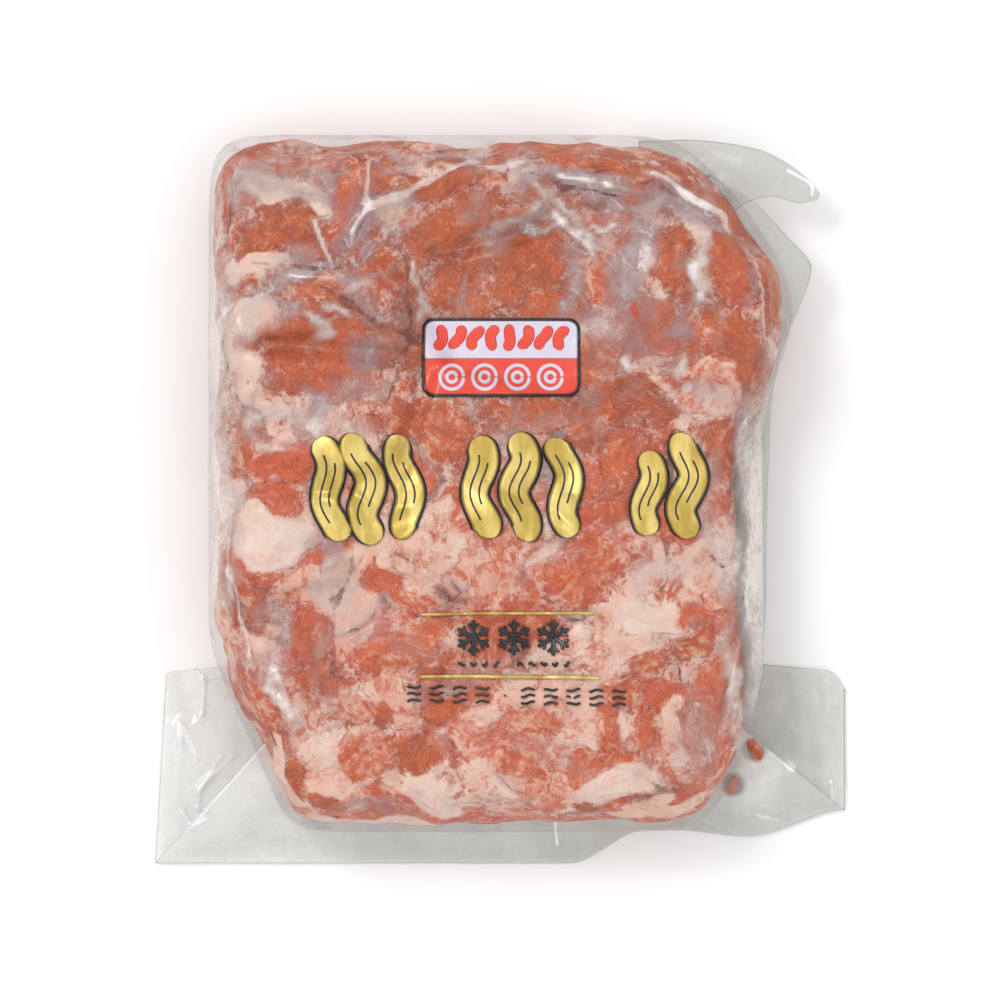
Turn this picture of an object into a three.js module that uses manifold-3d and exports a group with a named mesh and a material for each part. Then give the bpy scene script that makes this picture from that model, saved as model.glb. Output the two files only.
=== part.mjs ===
// A one-kilogram pouch of frozen bacon slices, vacuum packed in a clear bag and lying on its back.
// Millimetres, +Z up, printed face up, +Y towards the bag's closed end. The sealed mouth end is folded
// under the block of slices, so that its two corners stick out beside the block.
import * as THREE from "three";
import { mergeVertices } from "three/addons/utils/BufferGeometryUtils.js";
import Module from "manifold-3d";

const wasm = await Module();
wasm.setup();

// ---- Driving dimensions -------------------------------------------------------------------------

const BAG_WIDTH = 200; // of the empty bag, laid flat
const FILM = 0.8; // thickness given to two layers of film that lie on each other
const BLOCK_TOP = 105; // furthest Y of the block, at the bag's closed end
const BLOCK_BOTTOM = -96; // furthest Y of the block, at the mouth end
const BLOCK_LEFT = -84; // X of the block's left side
const BLOCK_RIGHT = 76; // X of its right side, half way along
const LEFT_DRAW = 18; // how far the left side draws in towards the mouth end
const RIGHT_DRAW = 10; // the same on the right side
const RIGHT_SWELL = 10; // how far the right side swells towards the closed end
const BLOCK_HEIGHT = 34; // level of the printed face at its rim
const CROWN = 2.4; // how much higher the middle of the face is
const BLOCK_EDGE = 13; // how far in the block's rounded edge reaches
const SEAM_HEIGHT = 15; // level of the bag's side edges round the block
const TOP_LEFT_POWER = 16; // of the outline's superellipse at each corner: higher is squarer
const TOP_RIGHT_POWER = 3.2;
const BOTTOM_LEFT_POWER = 12;
const BOTTOM_RIGHT_POWER = 9;
const FLAT_SHARE = 0.74; // share of the rings that lies inside the rounded edge
const COLUMNS = 34; // across the block, and rows along it
const ROWS = 42;
const FOLD_Y = -105.5; // where the tail turns under
const TAIL_END_Y = -46; // the bag's mouth edge, under the block
const TAIL_BOW = 4; // how much the mouth edge hangs back at its two ends
const TAIL_CORNER = 5; // rounding of the tail's mouth corners
const NECK_TOP_Y = -66; // where the tail's upper layer ends, inside the block
const NECK_TOP_HALF = 72; // half its width there

const BLOCK_MIDDLE_Y = (BLOCK_TOP + BLOCK_BOTTOM) / 2;
const BLOCK_HALF_LENGTH = (BLOCK_TOP - BLOCK_BOTTOM) / 2;
const BAG_HALF = BAG_WIDTH / 2;

// Slices that stand proud of the face: centre x, y, turn in degrees, length, width, height.
const RAISED_SLICES = [
  [-62, 60, 8, 42, 26, 3.0],
  [-12, 78, 32, 60, 20, 2.6],
  [8, 52, -14, 62, 40, 3.4],
  [55, 58, -62, 52, 34, 3.0],
  [-50, 26, -6, 50, 34, 2.6],
  [44, 8, 18, 56, 38, 2.4],
  [-58, -12, 4, 40, 26, 3.0],
  [0, -16, -24, 60, 34, 2.6],
  [40, -40, 40, 52, 34, 2.8],
  [-34, -52, 66, 56, 30, 2.6],
  [12, -72, 12, 62, 28, 2.4],
];

// Valleys between slices, where the film is drawn in: start x, y, end x, y, half width, depth.
const VALLEYS = [
  [-34, 66, -18, 40, 6, 3.2],
  [-66, 44, -20, 40, 5, 2.4],
  [-20, 40, -28, 10, 5, 2.6],
  [-18, 70, 30, 84, 5, 2.2],
  [-60, -30, -50, -66, 5, 2.8],
  [-14, -30, 24, -56, 5, 2.0],
];

// ---- Form ---------------------------------------------------------------------------------------

const radians = THREE.MathUtils.degToRad;
const ease = (x, from, to) => THREE.MathUtils.smoothstep(x, from, to);

// The block's two side lines, which draw in towards the mouth end.
const leftEdge = (y) => BLOCK_LEFT + LEFT_DRAW * ease(-y, 34, 92);
const rightEdge = (y) => BLOCK_RIGHT + RIGHT_SWELL * ease(y, 18, 60) - RIGHT_DRAW * (1 - ease(y, -100, -45));

// A point on the block's outline, as x from the bag's centre line and y from the block's middle, for a
// point on the edge of the unit square. It is a superellipse, stretched between the two side lines, whose
// power eases from corner to corner.
function outlinePoint(across, along) {
  const rightShare = ease(across, -0.9, 0.9);
  const top = TOP_LEFT_POWER + (TOP_RIGHT_POWER - TOP_LEFT_POWER) * rightShare;
  const bottom = BOTTOM_LEFT_POWER + (BOTTOM_RIGHT_POWER - BOTTOM_LEFT_POWER) * rightShare;
  const power = bottom + (top - bottom) * ease(along, -0.9, 0.9);
  const shrink = (Math.abs(across) ** power + Math.abs(along) ** power) ** (-1 / power);
  const y = along * shrink * BLOCK_HALF_LENGTH;
  const left = leftEdge(y + BLOCK_MIDDLE_Y);
  const right = rightEdge(y + BLOCK_MIDDLE_Y);
  return [(left + right) / 2 + (across * shrink * (right - left)) / 2, y];
}

// Height of a raised slice at a point: a rounded rectangle that falls away at its rim.
function sliceHeight([cx, cy, turn, length, width, height], x, y) {
  const a = radians(turn);
  const along = (Math.cos(a) * (x - cx) + Math.sin(a) * (y - cy)) / (length / 2);
  const across = (Math.cos(a) * (y - cy) - Math.sin(a) * (x - cx)) / (width / 2);
  return height * (1 - ease(along ** 4 + across ** 4, 0.25, 1.5));
}

// Depth of a valley at a point, by its distance from the valley's line.
function valleyDepth([x0, y0, x1, y1, halfWidth, depth], x, y) {
  const length2 = (x1 - x0) ** 2 + (y1 - y0) ** 2;
  const t = THREE.MathUtils.clamp(((x - x0) * (x1 - x0) + (y - y0) * (y1 - y0)) / length2, 0, 1);
  const away = Math.hypot(x - x0 - t * (x1 - x0), y - y0 - t * (y1 - y0));
  return depth * (1 - ease(away, 0, halfWidth));
}

// The printed face: a gentle crown, the highest raised slice at each point, and the valleys.
function faceHeight(x, y) {
  const crown = CROWN * (1 - (x / BAG_HALF) ** 2) * (1 - (y / BLOCK_TOP) ** 2);
  const raised = Math.max(0, ...RAISED_SLICES.map((slice) => sliceHeight(slice, x, y)));
  const drawn = Math.max(0, ...VALLEYS.map((valley) => valleyDepth(valley, x, y)));
  return BLOCK_HEIGHT + crown + raised - drawn;
}

// A point of the block. across and along run from -1 to 1, and face is 1 on top and -1 underneath. Rings
// of the square become rings of the outline: flat inside, then a quarter turn down to the side seam.
function blockPoint(across, along, face) {
  const ring = Math.max(Math.abs(across), Math.abs(along));
  if (ring === 0) return [0, BLOCK_MIDDLE_Y, face > 0 ? faceHeight(0, BLOCK_MIDDLE_Y) : 0];
  const [outX, outY] = outlinePoint(across / ring, along / ring);
  const reach = Math.hypot(outX, outY);
  const turn = Math.max(0, (ring - FLAT_SHARE) / (1 - FLAT_SHARE)) * (Math.PI / 2);
  const run =
    ring < FLAT_SHARE ? (ring / FLAT_SHARE) * (reach - BLOCK_EDGE) : reach - BLOCK_EDGE * (1 - Math.sin(turn));
  const x = (outX * run) / reach;
  const y = (outY * run) / reach + BLOCK_MIDDLE_Y;
  const level = face > 0 ? SEAM_HEIGHT + FILM / 2 : SEAM_HEIGHT - FILM / 2;
  const flatLevel = face > 0 ? faceHeight(x, y) : 0;
  return [x, y, level + (flatLevel - level) * Math.cos(turn)];
}

// The line where the tail turns under: straight on the left, and drawn up in a long wave on the right.
function foldLine(x) {
  return FOLD_Y + 9.5 * ease(x, 20, 42) - 1.6 * ease(x, 52, 70) + 7.5 * ease(x, 72, BAG_HALF);
}

// The shut fold between the tail's two layers, from the fold line up into the block, which its upper side
// leaves at the side seam's height. across runs from -1 to 1, and up from -1 at the fold line to 1 inside.
function neckPoint(across, up, face) {
  const rise = (up + 1) / 2;
  const halfWidth = THREE.MathUtils.lerp(BAG_HALF, NECK_TOP_HALF, rise);
  const x = across * halfWidth;
  const y = THREE.MathUtils.lerp(foldLine(across * BAG_HALF), NECK_TOP_Y, rise);
  const level = FILM * 1.2 + (SEAM_HEIGHT - FILM) * ease(rise, 0.02, 0.5);
  return [x, y, face > 0 ? level + FILM / 2 : 0];
}

// The tail's lower layer, flat under the block, from the fold back to the mouth edge.
function tailPoint(across, back, face) {
  const x = across * BAG_HALF;
  const corner = TAIL_CORNER * Math.max(0, (Math.abs(x) - BAG_HALF + TAIL_CORNER) / TAIL_CORNER) ** 2;
  const mouth = TAIL_END_Y - TAIL_BOW * Math.abs(across) ** 3 - corner;
  return [x, THREE.MathUtils.lerp(foldLine(x), mouth, (back + 1) / 2), face > 0 ? FILM : 0];
}

// ---- Solids -------------------------------------------------------------------------------------

// A box two units wide, whose points are all moved by place(x, y, face).
function shapedBox(columns, rows, place) {
  const geometry = new THREE.BoxGeometry(2, 2, 2, columns, rows, 1);
  const points = geometry.getAttribute("position");
  for (let i = 0; i < points.count; i++) {
    points.setXYZ(i, ...place(points.getX(i), points.getY(i), points.getZ(i)));
  }
  return geometry;
}

// Film that the block doesn't fill, on its right: a fin along the side and the closed end's corner ear.
function sideFilm() {
  const outline = new THREE.Shape();
  outline.moveTo(40, 95);
  outline.lineTo(52, 102.5);
  outline.splineThru([
    new THREE.Vector2(70, 101),
    new THREE.Vector2(82, 96.5),
    new THREE.Vector2(91, 90),
    new THREE.Vector2(92.5, 87),
    new THREE.Vector2(89, 86),
    new THREE.Vector2(79, 88),
    new THREE.Vector2(73.5, 85.5),
    new THREE.Vector2(82, 76),
    new THREE.Vector2(90, 67),
    new THREE.Vector2(90.5, 60),
    new THREE.Vector2(87, 47),
    new THREE.Vector2(81.5, 28),
    new THREE.Vector2(77.5, 12),
  ]);
  outline.lineTo(60, 20);
  outline.lineTo(40, 60);
  const geometry = new THREE.ExtrudeGeometry(outline, { depth: FILM, bevelEnabled: false, curveSegments: 30 });
  return geometry.translate(0, 0, SEAM_HEIGHT - FILM / 2);
}

function solidOf(geometry) {
  const bare = geometry.clone();
  bare.deleteAttribute("normal");
  bare.deleteAttribute("uv");
  const merged = mergeVertices(bare, 1e-4);
  return new wasm.Manifold(
    new wasm.Mesh({
      numProp: 3,
      vertProperties: new Float32Array(merged.getAttribute("position").array),
      triVerts: new Uint32Array(merged.index.array),
    }),
  );
}

function geometryOf(solid) {
  const { vertProperties, triVerts } = solid.getMesh();
  const geometry = new THREE.BufferGeometry();
  geometry.setAttribute("position", new THREE.BufferAttribute(vertProperties, 3));
  geometry.setIndex(new THREE.BufferAttribute(triVerts, 1));
  return geometry;
}

// The bag with its block of slices, its tail and its side film, as one solid centred over the origin.
function sealedBag() {
  const whole = [
    shapedBox(COLUMNS, ROWS, blockPoint),
    shapedBox(36, 10, neckPoint),
    shapedBox(28, 2, tailPoint),
    sideFilm(),
  ]
    .map(solidOf)
    .reduce((joined, next) => joined.add(next));
  const geometry = geometryOf(whole);
  geometry.computeBoundingBox();
  const middle = geometry.boundingBox.getCenter(new THREE.Vector3());
  geometry.translate(-middle.x, -middle.y, -geometry.boundingBox.min.z);
  geometry.computeVertexNormals();
  return geometry;
}

const bag = new THREE.Mesh(
  sealedBag(),
  new THREE.MeshStandardMaterial({ color: 0xb9634b, roughness: 0.32, metalness: 0 }),
);
bag.name = "sealed_bag";

const pack = new THREE.Group();
pack.add(bag);

export default pack;
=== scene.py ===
"""A vacuum pack of frozen bacon slices, lying on its back with its printed face up.

Clear film is drawn tight over a block of bacon slices, and the bag's mouth end is folded under the block.
Lengths are in millimetres until a mesh is made, which is in metres. Places on the block are given on its
chart: the printed face laid out flat, where x and y are the real ones on the face and run on past its rim
down the block's rounded sides as far as the bag's side seam.
"""
import math

import bpy
import numpy as np
from bpy.props import FloatProperty, FloatVectorProperty, PointerProperty
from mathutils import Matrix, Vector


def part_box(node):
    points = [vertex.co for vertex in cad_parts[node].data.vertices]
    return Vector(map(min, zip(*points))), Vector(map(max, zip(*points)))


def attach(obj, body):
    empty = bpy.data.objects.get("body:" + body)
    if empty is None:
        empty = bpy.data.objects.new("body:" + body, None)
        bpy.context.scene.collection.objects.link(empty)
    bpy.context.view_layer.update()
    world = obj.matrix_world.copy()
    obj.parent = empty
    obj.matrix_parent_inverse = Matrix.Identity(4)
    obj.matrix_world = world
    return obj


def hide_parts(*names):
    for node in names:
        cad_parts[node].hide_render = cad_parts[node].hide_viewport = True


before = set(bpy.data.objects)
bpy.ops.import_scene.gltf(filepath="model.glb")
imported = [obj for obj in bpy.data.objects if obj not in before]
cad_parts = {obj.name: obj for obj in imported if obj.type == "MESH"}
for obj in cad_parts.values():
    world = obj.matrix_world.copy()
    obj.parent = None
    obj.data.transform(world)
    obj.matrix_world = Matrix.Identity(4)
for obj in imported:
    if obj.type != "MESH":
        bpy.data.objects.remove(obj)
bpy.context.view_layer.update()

bl_info = {
    "name": "Vacuum Pack of Bacon Slices",
    "version": (1, 0, 0),
    "blender": (4, 5, 0),
    "location": "3D View > Sidebar > Bacon Pack",
    "description": "Makes a clear vacuum pack of frozen bacon slices around its packed model",
    "category": "Object",
}

NODE = "sealed_bag"
MM = 1000.0


LOW, HIGH = (np.array(corner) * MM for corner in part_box(NODE))

# ---- Sizes of the pack, in millimetres ---------------------------------------------------------------

BAG_HALF = (HIGH[0] - LOW[0]) / 2  # half the width of the empty bag
FOLD_Y = LOW[1]  # where the bag's mouth end turns under
BLOCK_LENGTH = 201
BLOCK_TOP = HIGH[1]
BLOCK_BOTTOM = BLOCK_TOP - BLOCK_LENGTH
BLOCK_MIDDLE = (BLOCK_TOP + BLOCK_BOTTOM) / 2
BLOCK_LEFT = -84.0
BLOCK_RIGHT = 76.0
LEFT_DRAW = 18.0  # how far the left side draws in towards the mouth end
RIGHT_DRAW = 10.0  # the same on the right
RIGHT_SWELL = 10.0  # how far the right side swells towards the closed end
FACE_LEVEL = HIGH[2] - 5.5  # height of the printed face at its rim
CROWN = 2.4  # how much higher the face is in its middle
EDGE = 13.0  # how far in the block's rounded edge reaches
EDGE_RUN = 27.0  # length of the rounded edge, from the face's rim down to the side seam
SEAM_LEVEL = 15.0  # height of the side seam
TOP_LEFT_POWER = 16.0  # how square each corner of the block is
TOP_RIGHT_POWER = 3.2
BOTTOM_LEFT_POWER = 12.0
BOTTOM_RIGHT_POWER = 9.0
SLICE = 1.1  # thickness of a slice
SLICE_POWER = 2.6  # how square the ends of a slice are
SLICE_THINNING = (0.7, 1.03)  # where a slice thins out, counted from 0 in its middle to 1 at its rim
RIM_SINK = 0.25  # how far the rim of a slice sinks into what lies under it
BASE_DROP = 2.75  # how far a slice's hidden flat base lies under its lowest point
MEAT_DEPTH = 1.5  # how far the slices' general level lies under the film's
GENERAL_SPAN = 15.0  # size of the blur that gives the heap's general level
FILM_GAP = 0.14  # least gap between the film and a slice
BACK_DEPTH = 0.2  # how far the back's slices stay inside the flat back
LATER_RISE = 0.0004  # how much nearer to the film each later slice may come
BACK_DRAW = 1.2  # how much further the back's slices draw in at the side seam

# Places where the face stands proud: centre x, y, turn in degrees, length, width, height.
SWELLINGS = (
    (-62, 60, 8, 42, 26, 3.0),
    (-12, 78, 32, 60, 20, 2.6),
    (8, 52, -14, 62, 40, 3.4),
    (55, 58, -62, 52, 34, 3.0),
    (-50, 26, -6, 50, 34, 2.6),
    (44, 8, 18, 56, 38, 2.4),
    (-58, -12, 4, 40, 26, 3.0),
    (0, -16, -24, 60, 34, 2.6),
    (40, -40, 40, 52, 34, 2.8),
    (-34, -52, 66, 56, 30, 2.6),
    (12, -72, 12, 62, 28, 2.4),
)

# Valleys where the film is drawn in: start x, y, end x, y, half width, depth.
VALLEYS = (
    (-34, 66, -18, 40, 6, 3.2),
    (-66, 44, -20, 40, 5, 2.4),
    (-20, 40, -28, 10, 5, 2.6),
    (-18, 70, 30, 84, 5, 2.2),
    (-60, -30, -50, -66, 5, 2.8),
    (-14, -30, 24, -56, 5, 2.0),
)

# The slices that show on the face, lowest first: centre x, y, turn in degrees, length, width, share of
# lean, and tone, from 0 for brown to 1 for pink.
FACE_SLICES = (
    (-68, 95, 0, 22, 16, 0.75, 0.5),
    (-80, 91, 82, 22, 5, 0.85, 0.5),
    (-80, -30, -80, 18, 5, 0.9, 0.2),
    (-61, 87, -10, 30, 11, 0.05, 0.3),
    (-70, 68, 10, 24, 12, 0.1, 0.4),
    (-74, 60, 5, 16, 8, 0.7, 0.5),
    (-73, 46, 20, 20, 22, 0.12, 0.5),
    (-72, 44.5, -30, 8, 4.5, 0.85, 0.5),
    (-57, 77, -10, 31, 19, 0.97, 0.05),
    (-51, 42, 8, 36, 30, 0.93, 0.35),
    (-42, 94, 80, 12, 9, 0.85, 0.1),
    (-33, 93, 80, 17, 14, 0.9, 0.15),
    (-15, 91, 22, 34, 9, 0.9, 0.1),
    (23, 99, 3, 32, 9, 0.85, 0.1),
    (29, 64, 85, 24, 12, 0.7, 0.6),
    (-29, 66, -35, 24, 14, 0.94, 0.1),
    (-12, 77, 14, 40, 20, 0.97, 0.0),
    (-6, 60, 50, 32, 26, 0.97, 0.0),
    (8, 70, 70, 31, 25, 0.97, 0.0),
    (38, 88, 10, 17, 10, 0.85, 0.1),
    (29, 42, 80, 24, 15, 0.75, 0.45),
    (49, 66, -78, 28, 11, 0.96, 0.05),
    (-41, 82, 85, 24, 13, 0.9, 0.7),
    (-46, 62, 4, 40, 10, 0.75, 0.6),
    (67, 67, -66, 30, 18, 0.9, 0.5),
    (43.5, 89, 70, 10, 4, 0.95, 0.1),
    (61, 92.5, 50, 10, 3.5, 0.95, 0.2),
    (68, 42, -40, 30, 24, 0.92, 0.15),
    (79, 58, -84, 30, 9, 0.9, 0.1),
    (32, 26, 25, 34, 18, 0.92, 0.1),
    (57, 31, 12, 22, 16, 0.5, 0.75),
    (66, 15, 86, 24, 16, 0.8, 0.25),
    (-20, 20, -20, 30, 17, 0.8, 0.5),
    (23, 8, 80, 14, 10, 0.75, 0.75),
    (33, 6, 20, 8, 6, 0.7, 0.75),
    (30, -4, 8, 24, 12, 0.9, 0.75),
    (-63, 10, 12, 21, 14, 0.85, 0.85),
    (-65, -1, 0, 18, 9, 0.75, 0.85),
    (-68, -11.5, 0, 27, 15, 0.0, 0.2),
    (-56, -25.5, 70, 14, 13, 0.42, 0.9),
    (-69, -29, 70, 12, 7, 0.8, 0.4),
    (-34, -20, 80, 12, 10, 0.92, 0.9),
    (-20, -14, 40, 26, 18, 0.35, 0.6),
    (-56, -40, 80, 17, 14, 0.82, 0.75),
    (-30, -41, 32, 36, 12, 0.75, 0.6),
    (-52, -50, -15, 14, 9, 0.85, 0.6),
    (27, -20, 40, 30, 22, 0.72, 0.65),
    (61, -16, 60, 24, 18, 0.35, 0.7),
    (67, -42, 80, 34, 16, 0.72, 0.55),
    (60, -58, 70, 22, 12, 0.8, 0.7),
    (4, -36, 20, 30, 16, 0.8, 0.6),
    (-12, -50, -10, 26, 14, 0.7, 0.5),
    (8, 24, 10, 30, 12, 0.8, 0.3),
    (2, 2, 70, 26, 14, 0.62, 0.7),
    (-30, 4, 60, 22, 14, 0.7, 0.8),
    (44, -33, 8, 24, 9, 0.05, 0.3),
    (37, -42, 20, 14, 8, 0.25, 0.6),
    (55, -33, -6, 13, 6, 0.9, 0.8),
    (38, -52, 35, 28, 10, 0.8, 0.35),
    (50, -57, -3, 18, 10, 0.9, 0.75),
    (30, -66, 80, 12, 9, 0.75, 0.6),
    (43, -66, 84, 16, 5, 0.85, 0.7),
    (49, -66, 88, 18, 6, 0.3, 0.7),
    (54, -66, 88, 18, 6, 0.7, 0.2),
    (3, -72, 8, 34, 18, 0.55, 0.8),
    (-70, -60, -65, 34, 9, 0.7, 0.6),
    (-66, -80, 100, 18, 7, 0.15, 0.5),
    (-59.5, -81, 100, 17, 7, 0.95, 0.1),
    (-51, -89, -15, 12, 6, 0.85, 0.3),
    (-38, -73, 50, 20, 18, 0.62, 0.7),
    (-33, -61, 30, 9, 8, 0.85, 0.35),
    (-21, -72, -42, 20, 14, 0.85, 0.25),
    (-16, -60, 20, 13, 8, 0.85, 0.3),
    (8, -60.5, 8, 24, 9, 0.72, 0.6),
    (-9, -81, 20, 20, 17, 0.4, 0.3),
    (35, -82, 15, 25, 10, 0.05, 0.4),
    (27, -92, 0, 8, 5, 0.9, 0.2),
    (56, -85, 30, 13, 6, 0.85, 0.6),
)

# Sharp creases of the film: start x, y, end x, y, half width, height (negative for a groove). A fold that
# stands up gets a painted highlight along its crest and painted shade in its lee, and a groove gets painted
# shade as a soft dark line.
CREASES = (
    (-53.5, 80.4, -50.7, 75.4, 1.0, 0.9),
    (-52, 79.5, -49.2, 68.5, 1.5, 1.3),
    (-45, 71, -40.6, 66, 1.0, 0.9),
    (-37.8, 98.7, -36.8, 86.1, 1.5, 1.2),
    (-36.8, 86.1, -33.7, 84.8, 1.1, 0.8),
    (-34.9, 83.6, -29.3, 86.1, 2.2, 1.3),
    (-29.3, 86.1, -21.6, 91.1, 1.5, 1.1),
    (-21.6, 91.1, -10.7, 97.4, 1.5, 1.1),
    (-10.7, 97.4, 0.3, 95.0, 1.5, 1.1),
    (-13, 102, -7.5, 98.9, 1.5, 1.0),
    (-2.9, 95.8, 3.7, 99.1, 2.2, 1.3),
    (3.7, 99.1, 7.1, 101.6, 2.0, 1.1),
    (-36.2, 83.6, -40, 77.3, 1.2, 1.0),
    (-40, 77.3, -41.9, 67.7, 1.2, 0.9),
    (7, 96.5, 17.9, 93, 1.3, 0.8),
    (17.9, 93, 30.4, 90.8, 1.2, 0.8),
    (30.4, 90.8, 40, 89.5, 1.2, 0.8),
    (9, 94, 19, 90.2, 0.9, -0.8),
    (19, 90.2, 36, 87.6, 0.9, -0.8),
    (12, 89, 19.6, 80.8, 1.5, 1.0),
    (19.6, 80.8, 26.2, 73.3, 1.5, 1.0),
    (26.2, 73.3, 33.7, 70, 1.3, 0.9),
    (39.6, 99.1, 46.2, 97.5, 1.3, 1.0),
    (46.2, 97.5, 52.9, 93.3, 1.3, 1.0),
    (75, 71.5, 78, 45, 1.0, 0.9),
    (80.5, 67, 79.5, 56, 1.2, 0.8),
    (48, 37, 50, 28, 1.0, 0.8),
    (50, 28, 58, 24.5, 1.0, 0.8),
    (58, 24.5, 67, 27, 1.0, 0.7),
    (-45, 77.9, -41.9, 69.1, 0.9, -0.7),
    (-34.9, 75.4, -24.2, 67.8, 0.8, -1.0),
    (-24.2, 67.8, -21, 66, 0.9, 0.6),
    (-77.8, 79.8, -72.7, 74.8, 0.9, 1.0),
    (-82.8, 56.5, -75.9, 52.7, 0.8, 0.8),
    (-67.7, 63.0, -48, 63.6, 1.2, 0.9),
    (-70, 65.5, -46, 66.5, 0.9, -0.8),
    (-53.2, 61.5, -43.1, 57.1, 0.8, -1.0),
    (-43.1, 57.1, -34.3, 50.2, 0.8, -1.0),
    (-34.3, 50.2, -24.8, 46.4, 0.8, -0.8),
    (-24.8, 46.4, -34.9, 22.4, 0.8, -1.0),
    (-31.8, 33.1, -34.9, 23.6, 0.7, 0.7),
    (-24.2, 66.6, -25.5, 50.2, 0.8, -0.9),
    (-22.9, 66, -24, 48, 1.1, 0.6),
    (-33.7, 56.5, -25.5, 60.3, 0.8, 0.5),
    (-60.8, 91.8, -53.2, 87.4, 0.8, -0.7),
    (-78.4, 101.9, -76.5, 84.8, 1.0, 0.8),
    (-80.3, 37.6, -78.4, 25, 0.9, 0.9),
    (16.6, 92.2, 44.7, 93.5, 1.0, 0.5),
    (45.4, 93.3, 54.6, 88.3, 2.2, 1.3),
    (54.6, 88.3, 65.4, 82.8, 2.8, 1.6),
    (65.4, 82.8, 66.2, 77.2, 2.2, 1.3),
    (46, 89, 60, 82.4, 1.0, -0.8),
    (-5.4, 76.1, 7.9, 79.5, 1.3, 0.6),
    (7.9, 79.5, 17.3, 82.2, 1.3, 0.6),
    (18, 80.2, 26.6, 72.1, 1.2, 0.5),
    (74.8, 69.5, 78.1, 46.7, 0.9, 0.6),
    (71, 60, 74, 40, 0.9, -0.6),
    (-80.4, -4.7, -79.6, -20.9, 1.4, 1.0),
    (-79.6, -20.9, -75.6, -35.4, 1.6, 1.2),
    (-75.6, -35.4, -71.5, -44.3, 1.5, 1.1),
    (-72.1, -44.8, -62.7, -56.1, 1.1, 0.8),
    (-62.7, -56.1, -60.8, -71.9, 1.0, 0.8),
    (-79, -24, -74.5, -44.8, 0.9, -0.9),
    (-79, -44.8, -74, -64.3, 1.0, -0.8),
    (-62.5, -48, -59.5, -63, 1.7, 1.2),
    (-43.1, -5.7, -41.9, -18.3, 0.8, -0.9),
    (-41.9, -18.3, -47.5, -28.4, 0.8, -0.9),
    (-47.5, -28.4, -48.2, -49.8, 0.8, -0.9),
    (-48.2, -49.8, -40.6, -56.1, 0.8, -0.9),
    (-44.4, -37.2, -41.9, -54.9, 0.9, 0.7),
    (-42.5, -24.6, -38.7, -20.8, 1.0, 1.0),
    (-29.9, -14.5, -16, -27.8, 0.8, -0.9),
    (-16, -27.8, -12.9, -30.3, 0.8, -0.8),
    (22.6, -1.9, 36, 2.1, 0.9, 0.5),
    (4.6, -60.7, 21.3, -65.4, 1.0, 0.6),
    (18, -71, 50, -84, 0.9, -0.7),
    (57.1, -13, 63.8, -18, 1.0, -0.9),
    (73.4, -27.3, 62, -32.6, 1.0, -0.8),
    (60, -5, 63, -16, 1.3, 0.8),
    (68, -18, 71, -32, 1.3, 0.8),
    (69, -40, 66, -62, 1.2, 0.8),
    (66, -62, 60, -88, 1.1, 0.7),
    (22.3, -88.7, 39.8, -87.3, 0.9, -0.8),
    (39.8, -87.3, 54.4, -81.4, 0.9, -0.8),
    (66, -33, 60, -70, 1.3, 0.5),
)
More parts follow.
